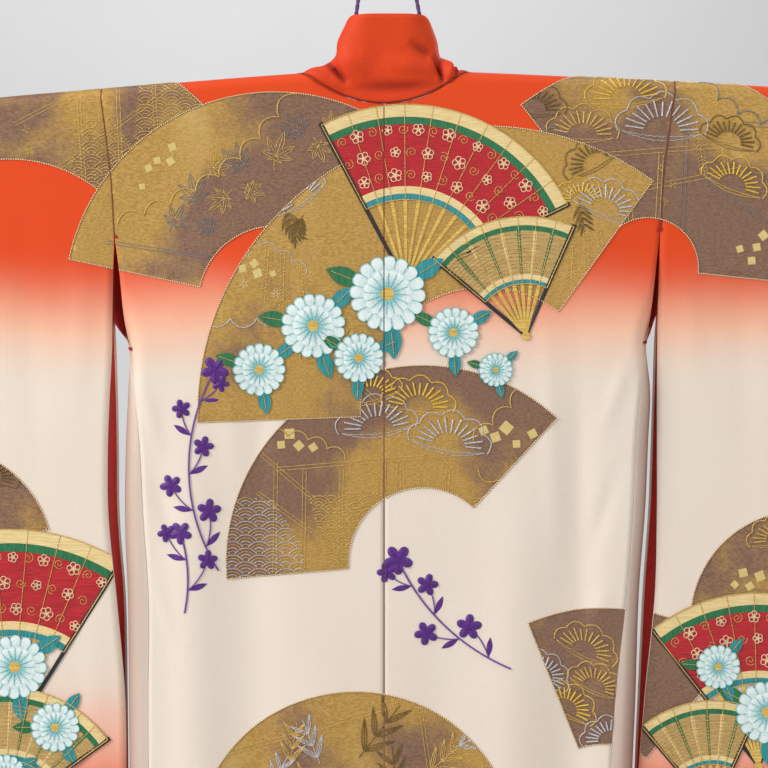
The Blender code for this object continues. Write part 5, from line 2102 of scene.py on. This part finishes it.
def maple_leaf(x, down, size, degrees=0.0):
    """A seven-pointed leaf with its veins."""
    edge = [(0.0, -0.18)]
    veins = []
    for k, tip in enumerate(MAPLE_TIPS):
        turn = math.radians(tip.angle)
        point = (tip.reach * math.cos(turn), tip.reach * math.sin(turn))
        for share, swing in ((0.62, -13), (1.0, 0), (0.62, 13)):
            shoulder = math.radians(tip.angle + swing)
            edge.append((tip.reach * share * math.cos(shoulder), tip.reach * share * math.sin(shoulder)))
        if k < len(MAPLE_TIPS) - 1:
            notch = math.radians((tip.angle + MAPLE_TIPS[k + 1].angle) / 2)
            edge.append((MAPLE_NOTCH * math.cos(notch), MAPLE_NOTCH * math.sin(notch)))
        veins.append([(0.0, 0.0), (point[0] * 0.82, point[1] * 0.82)])
    edge.append((0.0, -0.18))
    stem = [(0.0, -0.18), (0.03, -0.42), (0.10, -0.60)]
    return [turned(shape, x, down, degrees, size) for shape in (edge, stem, *veins)]


def star_flower(x, down, size, petals=6, turn=0.0):
    """Straight strokes out from a middle."""
    strokes = []
    for k in range(petals):
        angle = math.radians(turn + 360 * k / petals)
        strokes.append([polar(x, down, 0.22 * size, angle), polar(x, down, size, angle)])
    return strokes


def wave_scales(left, top, right, low, radius):
    """Overlapping rows of wave arcs, four to a scale, as two lists for two threads."""
    first, second = [], []
    rows = math.ceil((low - top) / (radius / 2)) + 1
    for j in range(rows):
        for i in range(math.ceil((right - left) / (2 * radius)) + 1):
            x = left + (2 * i + (j % 2)) * radius
            down = top + j * radius / 2
            fronts = ((x - radius, down + radius / 2), (x + radius, down + radius / 2))
            for k in range(4):
                reach = radius * (1 - 0.23 * k)
                stroke = []
                for degrees in range(0, 181, 12):
                    place = polar(x, down, reach, math.radians(degrees))
                    if min(math.dist(place, front) for front in fronts) < radius:
                        if len(stroke) > 1:
                            (first if k % 2 else second).append(stroke)
                        stroke = []
                    else:
                        stroke.append(place)
                if len(stroke) > 1:
                    (first if k % 2 else second).append(stroke)
    return first, second


def rail(start, end, gap=4.0):
    """A lattice bar: two lines side by side."""
    length = math.dist(start, end)
    off = ((end[1] - start[1]) / length * gap / 2, -(end[0] - start[0]) / length * gap / 2)
    made = []
    for sign in (-1, 1):
        ends = [(x + sign * off[0], down + sign * off[1]) for x, down in (start, end)]
        made.append(line(*ends))
    return made


def cloud_corners(start, end, bays, bow):
    """Corners spaced evenly along a bowed line between two places."""
    length = math.dist(start, end)
    off = ((end[1] - start[1]) / length, -(end[0] - start[0]) / length)
    made = []
    for k in range(bays + 1):
        part = k / bays
        rise = bow * math.sin(math.pi * part)
        x, down = midway(start, end, part)
        made.append((x + off[0] * rise, down + off[1] * rise))
    return made


def cloud_edge(corners, bulge=0.34, flip=1):
    """Rounded bays from corner to corner."""
    made = []
    for first, second in zip(corners, corners[1:]):
        made += bay(first, second, bulge, 0.7, 12, flip)
    return made


def blade(x, down, length, degrees, width=0.08):
    """One bamboo leaf with its vein."""
    edge = [(0.0, 0.0)]
    for k in range(1, 8):
        part = k / 8
        edge.append((part, width * math.sin(math.pi * part**0.75)))
    edge.append((1.0, 0.0))
    edge += [(px, -py) for px, py in edge[-2:0:-1]]
    edge.append((0.0, 0.0))
    return [
        turned(edge, x, down, degrees, length),
        turned([(0.0, 0.0), (0.9, 0.0)], x, down, degrees, length)
    ]


def bamboo_spray(x, down, length, degrees, leaves=5):
    """Leaves in pairs along a stem, smaller towards its tip."""
    turn = math.radians(degrees)
    made = []
    for k in range(leaves):
        along = 0.12 + 0.72 * k / leaves
        joint = polar(x, down, length * along, turn)
        for swing in (-34, 38):
            made += blade(*joint, length * (0.44 - 0.03 * k), degrees + swing + 4 * k)
    made.append(line((x, down), polar(x, down, length * 0.9, turn)))
    return made


def willow(x, down, length, lean=0.0, step=4.2):
    """A hanging tress of small paired leaves."""
    strokes = [line((x, down), (x + lean, down + length))]
    for k in range(int(length / step)):
        part = k * step / length
        px, py = x + lean * part, down + length * part
        for hand in (-1, 1):
            strokes.append([(px, py), (px + hand * 3.4, py + 1.4), (px + hand * 5.0, py + 4.2)])
    return strokes


PineCloud = namedtuple("PineCloud", "fan thread x down width turn")
PINE_CLOUDS = (
    PineCloud("yoke_right", "bronze", 176, 44, 78, -6),
    PineCloud("yoke_right", "bright", 288, 32, 92, 4),
    PineCloud("yoke_right", "gold", 236, 74, 82, -4),
    PineCloud("yoke_right", "silver", 330, 70, 104, -3),
    PineCloud("yoke_right", "bronze", 410, 82, 70, -18),
    PineCloud("yoke_right", "bright", 414, 134, 78, -22),
    PineCloud("yoke_right", "slate", 196, 92, 60, -10),
    PineCloud("yoke_right", "silver", 500, 150, 84, -30),
    PineCloud("middle", "bronze", 252, 108, 74, 30),
    PineCloud("middle", "silver", 262, 164, 86, -20),
    PineCloud("middle", "bright", 234, 152, 62, 8),
    PineCloud("middle", "silver", -96, 150, 66, 36),
    PineCloud("middle", "gold", -60, 330, 74, 24),
    PineCloud("waist", "bright", -16, 386, 76, 14),
    PineCloud("waist", "silver", -8, 424, 92, 6),
    PineCloud("waist", "bright", 40, 398, 84, -6),
    PineCloud("waist", "silver", 76, 444, 94, -10),
    PineCloud("skirt_right", "silver", 186, 716, 66, -38),
    PineCloud("skirt_right", "gold", 236, 688, 76, -26),
    PineCloud("skirt_right", "bright", 214, 756, 72, -32),
    PineCloud("skirt_right", "gold", 248, 730, 66, -24),
    PineCloud("skirt_right", "silver", 268, 792, 66, 12),
    PineCloud("sleeve_right", "gold", 470, 556, 70, 12),
    PineCloud("sleeve_left", "bronze", -470, 480, 66, -24),
)
thread_lines = {}


def draw(thread, radius, fan_name, lines, within=None):
    """Keeps lines for one sewing of each thread, cut to a fan and to what lies over it."""
    order = [fan.name for fan in FANS]
    inside = fan_outlines[fan_name]
    above = [fan_outlines[name] for name in order[: order.index(fan_name)]] + PICTURE_SHAPES
    for stroke in lines:
        dense = [place for a, b in zip(stroke, stroke[1:]) for place in line(a, b, 3.0)[:-1]] + stroke[-1:]
        for stretch in clipped(dense, inside, above):
            kept = clipped(stretch, within) if within else [stretch]
            thread_lines.setdefault((thread, radius), []).extend(kept)


for cloud in PINE_CLOUDS:
    edges, needles = pine_cloud(cloud.x, cloud.down, cloud.width, cloud.turn)
    draw(cloud.thread, HEAVY_RADIUS, cloud.fan, edges[:1])
    draw(cloud.thread, FILL_RADIUS, cloud.fan, edges[1:])
    draw(cloud.thread, NEEDLE_RADIUS, cloud.fan, needles)

MapleLeaf = namedtuple("MapleLeaf", "thread x down size turn")
for leaf in (
    MapleLeaf("gold", -62, 62, 17, 4),
    MapleLeaf("slate", -104, 68, 24, 30),
    MapleLeaf("gold", -128, 98, 28, -18),
    MapleLeaf("gold", -78, 86, 20, 200),
    MapleLeaf("slate", -170, 104, 26, 60),
    MapleLeaf("gold", -202, 112, 24, -40),
    MapleLeaf("slate", -226, 146, 26, 10),
    MapleLeaf("gold", -190, 148, 22, 130),
    MapleLeaf("slate", -250, 176, 22, -30),
    MapleLeaf("slate", -206, 182, 17, 80),
    MapleLeaf("gold", -160, 138, 19, 250),
):
    draw(leaf.thread, FILL_RADIUS, "shoulder_left", maple_leaf(leaf.x, leaf.down, leaf.size, leaf.turn))

CloudBank = namedtuple("CloudBank", "fan thread radius start end bays bow flip")
for bank in (
    CloudBank("shoulder_left", "gold", HEAVY_RADIUS, (-104, 24), (-318, 180), 8, 26, -1),
    CloudBank("yoke_right", "slate", HEAVY_RADIUS, (376, 8), (478, 68), 4, -12, 1),
    CloudBank("yoke_right", "silver", HEAVY_RADIUS, (500, 96), (468, 158), 3, -18, 1),
    CloudBank("middle", "silver", HEAVY_RADIUS, (-214, 290), (-88, 280), 4, -6, -1),
    CloudBank("middle", "silver", FILL_RADIUS, (-168, 198), (-92, 238), 4, 6, 1),
    CloudBank("waist", "gold", HEAVY_RADIUS, (-140, 430), (-46, 460), 4, 10, 1),
    CloudBank("waist", "gold", HEAVY_RADIUS, (170, 374), (106, 436), 3, 4, -1),
    CloudBank("waist", "gold", HEAVY_RADIUS, (112, 470), (182, 476), 3, -12, -1),
):
    draw(bank.thread, bank.radius, bank.fan, [cloud_edge(cloud_corners(*bank[3:7]), flip=bank.flip)])

for start, end in (
    ((-470, 24), (-250, -8)), ((-420, 136), (-256, 18)), ((-392, 150), (-232, 42)),
    ((-364, 20), (-356, 140)), ((-318, -6), (-312, 130)), ((-276, -10), (-268, 110)),
    ((-440, 60), (-340, 8)),
):
    draw("gold", FILL_RADIUS, "yoke_left", rail(start, end))
for start, end in (
    ((296, 120), (290, 250)), ((330, 96), (322, 250)), ((360, 70), (352, 240)), ((236, 98), (420, 84)),
    ((240, 150), (430, 112)), ((376, 120), (520, 220)), ((430, 60), (560, 64)),
):
    draw("gold" if start[0] < 340 else "slate", FILL_RADIUS, "yoke_right", rail(start, end, 5.0))
for start, end in (
    ((-146, 452), (40, 610)), ((-150, 498), (-10, 596)), ((-128, 462), (-130, 600)),
    ((-94, 470), (-96, 600)), ((-128, 470), (90, 452)), ((-50, 470), (-52, 600)),
    ((-66, 520), (120, 506)), ((0, 462), (-2, 580)), ((18, 462), (16, 560)),
    ((76, 470), (74, 520)), ((80, 524), (190, 470)), ((-30, 370), (80, 470)),
):
    draw("gold", FILL_RADIUS, "waist", rail(start, end))
for start, end in (((-200, 812), (20, 748)), ((40, 730), (60, 870))):
    draw("gold", FILL_RADIUS, "skirt_middle", rail(start, end, 4.0))
for start, end in (((-330, 200), (-60, 240)), ((-200, 260), (-40, 120)), ((-176, 250), (-60, 160))):
    draw("slate", FILL_RADIUS, "shoulder_left", rail(start, end, 3.4))

for fan_name, corners, radius, second in (
    ("yoke_left", [(-290, -20), (-206, -20), (-206, 60), (-300, 104)], 16, "gold"),
    ("yoke_left", [(-364, 60), (-330, 48), (-268, 120), (-340, 176), (-380, 140)], 16, "gold"),
    ("waist", [(-196, 500), (-132, 506), (-96, 560), (-90, 620), (-196, 620)], 16, "silver"),
    ("waist", [(-92, 500), (40, 494), (20, 560), (-60, 600)], 15, "gold"),
):
    patch = Outline(corners)
    bright_arcs, pale_arcs = wave_scales(*patch.box, radius)
    draw("gold", FILL_RADIUS, fan_name, bright_arcs, patch)
    draw(second, HEAVY_RADIUS * 0.75, fan_name, pale_arcs, patch)

for x, down, length, degrees in ((-118, 160, 50, -70), (-96, 168, 36, -110)):
    draw("bronze", FILL_RADIUS, "middle", bamboo_spray(x, down, length, degrees, 5))
draw("bronze", FILL_RADIUS, "middle", bamboo_spray(232, 150, 44, -80, 4))
for x, down, length, degrees, thread in (
    (-30, 812, 88, 52, "bronze"), (-76, 818, 62, 112, "silver"), (50, 832, 66, 40, "gold"),
    (-112, 822, 58, 80, "gold"), (-140, 856, 58, 60, "silver"), (16, 862, 70, 96, "bronze"),
    (84, 800, 50, 24, "silver"), (-66, 860, 60, 140, "gold"), (110, 856, 56, 60, "gold"),
):
    draw(thread, HEAVY_RADIUS * 0.8, "skirt_middle", bamboo_spray(x, down, length, degrees, 3))
for x, down, length, lean in (
    (-136, 204, 70, -6), (-118, 214, 78, -2), (-98, 222, 60, 4), (226, 176, 74, -4), (242, 184, 60, 2),
    (258, 186, 44, 6),
):
    draw("gold", FILL_RADIUS, "middle", willow(x, down, length, lean))
for x, down, length, lean in ((372, 60, 60, 10), (400, 70, 40, 6)):
    draw("gold", FILL_RADIUS, "yoke_right" if x > 0 else "yoke_left", willow(x, down, length, lean))
for x, down, turn in (
    (396, 34, 0), (410, 26, 20), (424, 42, 10), (404, 54, 30), (438, 52, 0), (330, 112, 15), (344, 132, 40),
    (334, 152, 10), (-426, 66, 20), (-422, 92, 60), (-300, 250, 0), (-280, 262, 30),
):
    draw("bright", FILL_RADIUS, "yoke_right" if x > 0 else "yoke_left", star_flower(x, down, 5.0, 4, turn))
for x, down, turn in ((-162, 214, 0), (-150, 236, 20), (-166, 250, 30), (-128, 262, 0), (-180, 232, 15)):
    draw("pale", FILL_RADIUS, "middle", star_flower(x, down, 5.5, 6, turn))

# Squares of cut gold leaf, scattered in small flights and burnished.
leaf_metal = Finish("cut_gold_leaf", Metallic=0.35, Roughness=0.28)
crumple = leaf_metal.noise(240.0, detail=3.0)
leaf_metal.shine(Base_Color=leaf_metal.mix(crumple, dye(224, 192, 104), dye(244, 222, 156)))
leaf_metal.bump(crumple, 0.0004)
gold_points, gold_faces = [], []
for x, down, size, turn in (
    (-252, 87, 9, 20), (-270, 103, 8, 10), (-254, 104, 9, 30), (-280, 112, 8, 25), (-288, 134, 7, 8),
    (-154, 226, 9, 40), (-150, 238, 10, 20), (-168, 232, 9, 12), (-132, 238, 7, 15),
    (-112, 428, 12, 2), (-101, 442, 10, 42), (-122, 441, 9, 5), (-84, 444, 9, 35),
    (118, 424, 10, 25), (132, 432, 11, 18), (145, 421, 13, 50), (157, 440, 9, 4), (176, 428, 10, 28),
    (444, 206, 9, 10), (452, 192, 10, 40), (424, 208, 8, 15), (438, 222, 9, 5), (428, 594, 10, 12),
    (436, 610, 9, 35), (448, 598, 11, 20), (418, 608, 8, 45), (-478, 512, 9, 20), (-490, 498, 8, 5),
):
    corners = [(-0.5, -0.5), (0.5, -0.5), (0.5, 0.5), (-0.5, 0.5)]
    places = turned(corners, x, down, turn, size)
    if any(shape.holds(x, down) for shape in PICTURE_SHAPES):
        continue
    base = len(gold_points)
    gold_points += [on_face(*at(*place), FOIL_LIFT + 0.0002) for place in places]
    gold_points.append(on_face(*at(x, down), FOIL_LIFT + 0.0005))
    gold_faces += [(base + k, base + (k + 1) % 4, base + 4) for k in range(4)]
squares = add_mesh("gold_leaf_squares", gold_points, gold_faces, [leaf_metal])
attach(squares, "root")
for (thread, radius), stretches in thread_lines.items():
    sew(f"fill_{thread}_{round(radius * 1e6)}", stretches, thread, radius)

# Violet bellflower sprays, couched and filled on the plain cloth: stems of thick silk that bend evenly,
# side shoots by turns to each hand, and on each a five-pointed flower in satin stitch.
STEM_RADIUS = 0.0011
SHOOT_RADIUS = 0.0008
BELL_LIFT = SATIN_LIFT + 0.0012


def bending(x, down, heading, length, bend, step=2.4):
    """A stem from its foot, by its heading, its length and how far it turns in all."""
    count = max(2, round(length / step))
    made = [(x, down)]
    for k in range(count):
        turn = math.radians(heading + bend * (k + 0.5) / count)
        x, down = polar(x, down, length / count, turn)
        made.append((x, down))
    return made


bell_silk = satin("bellflower_silk", (104, 36, 148), (64, 14, 102), "round")
Spray = namedtuple("Spray", "name x down heading length bend shoots flower")
SPRAYS = (
    Spray("left_tall", -196, 590, 122, 250, -62, 5, 17),
    Spray("left_low", -236, 640, 78, 96, 30, 2, 14),
    Spray("waist_low", 150, 706, 158, 190, -44, 4, 18),
)
for spray in SPRAYS:
    mark = f"bellflower_{spray.name}"
    stem = bending(spray.x, spray.down, spray.heading, spray.length, spray.bend)
    sew(f"{mark}_stem", clipped(stem, above=PICTURE_SHAPES), "violet", STEM_RADIUS, SATIN_LIFT)
    shoots, veins, heads = [], [], [(*stem[-1], spray.flower)]
    for k in range(spray.shoots):
        part = (k + 0.7) / (spray.shoots + 0.6)
        foot = stem[round(part * (len(stem) - 1))]
        hand = 1 if k % 2 else -1
        heading = spray.heading + spray.bend * part + hand * 46
        shoot = bending(*foot, heading, 44 - 3 * k, -hand * 34)
        shoots += clipped(shoot, above=PICTURE_SHAPES)
        heads.append((*shoot[-1], spray.flower * (0.86 - 0.06 * k)))
        leaf = spindle(*foot, heading + hand * 20, (2, 25), 7)
        lay_patch(f"{mark}_leaf_{k}", leaf, [], bell_silk, SATIN_LIFT, rim=SATIN_RIM, step=4.0)
    for k, (x, down, size) in enumerate(heads):
        star = petalled(x, down, size, 5, 18 + 31 * k, 0.52, 1.1)
        lay_patch(f"{mark}_head_{k}", star, [], bell_silk, BELL_LIFT, rim=0.0006, step=3.5)
        for j in range(5):
            angle = math.radians(18 + 31 * k + 72 * (j + 0.5))
            tip = polar(x, down, 0.8 * size, angle)
            veins += clipped(line((x, down), tip, 1.6))
    sew(f"{mark}_shoots", shoots, "violet", SHOOT_RADIUS, SATIN_LIFT)
    sew(f"{mark}_veins", veins, "lilac", 0.0006, BELL_LIFT + 0.0004)

# Seams and tacks: silk thread pulled down into each seam, and red bar tacks where the sleeve seams
# and the side seams end, since the open armholes pull there.
SEAM_RADIUS = 0.0005
TACK_RADIUS = 0.0008


middle_falls = fine_falls([NECK_FALL + 0.002, GARMENT_FALL - 0.002], 0.008)
middle_line = [on_face(0.0, rod_z(0.0) - fall, 0.0001) for fall in middle_falls]
lay_along("seam_back_middle", [middle_line], threads, "seam", Radius=SEAM_RADIUS)
for hand, word in HANDS.items():
    shoulder_line = []
    for k in range(61):
        fall = blend(-2 * QUARTER - 0.02, ARMHOLE_TOP, k / 60)
        own_x = (side(hand, clip_reach(fall), "back_edge") + side(hand, clip_reach(fall), "sleeve_back")) / 2
        shoulder_line.append(on_face(hand * own_x, rod_z(hand * own_x) - fall, 0.0002))
    lay_along(f"seam_sleeve_{word}", [shoulder_line], threads, "seam", Radius=SEAM_RADIUS * 1.5)
    for place_fall, column, mark in ((ARMHOLE_TOP, "back_edge", "top"), (ARMHOLE_END, "turn", "low")):
        own_x = side(hand, place_fall, column)
        z = rod_z(hand * own_x) - place_fall
        for j in range(3):
            across = [
                on_face(hand * (own_x - 0.0012 + step), z + 0.0012 * (j - 1) + 0.3 * step, 0.0009)
                for step in (-0.0020, 0.0, 0.0020)
            ]
            lay_along(f"tack_{mark}_{word}_{j}", [across], threads, "red", Radius=TACK_RADIUS)
neck_line = [row[0].lerp(row[1], 0.25) for row in band_rows if row[0].y < 0.004]
neck_line = [point + Vector((0.0, -0.0014, 0.0)) for point in neck_line]
lay_along("seam_neck", [neck_line], threads, "core", Radius=SEAM_RADIUS * 1.7)

low, high = cad_box
new_low, new_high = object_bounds()
{"cad": [list(low), list(high)], "visual": [list(new_low), list(new_high)]}
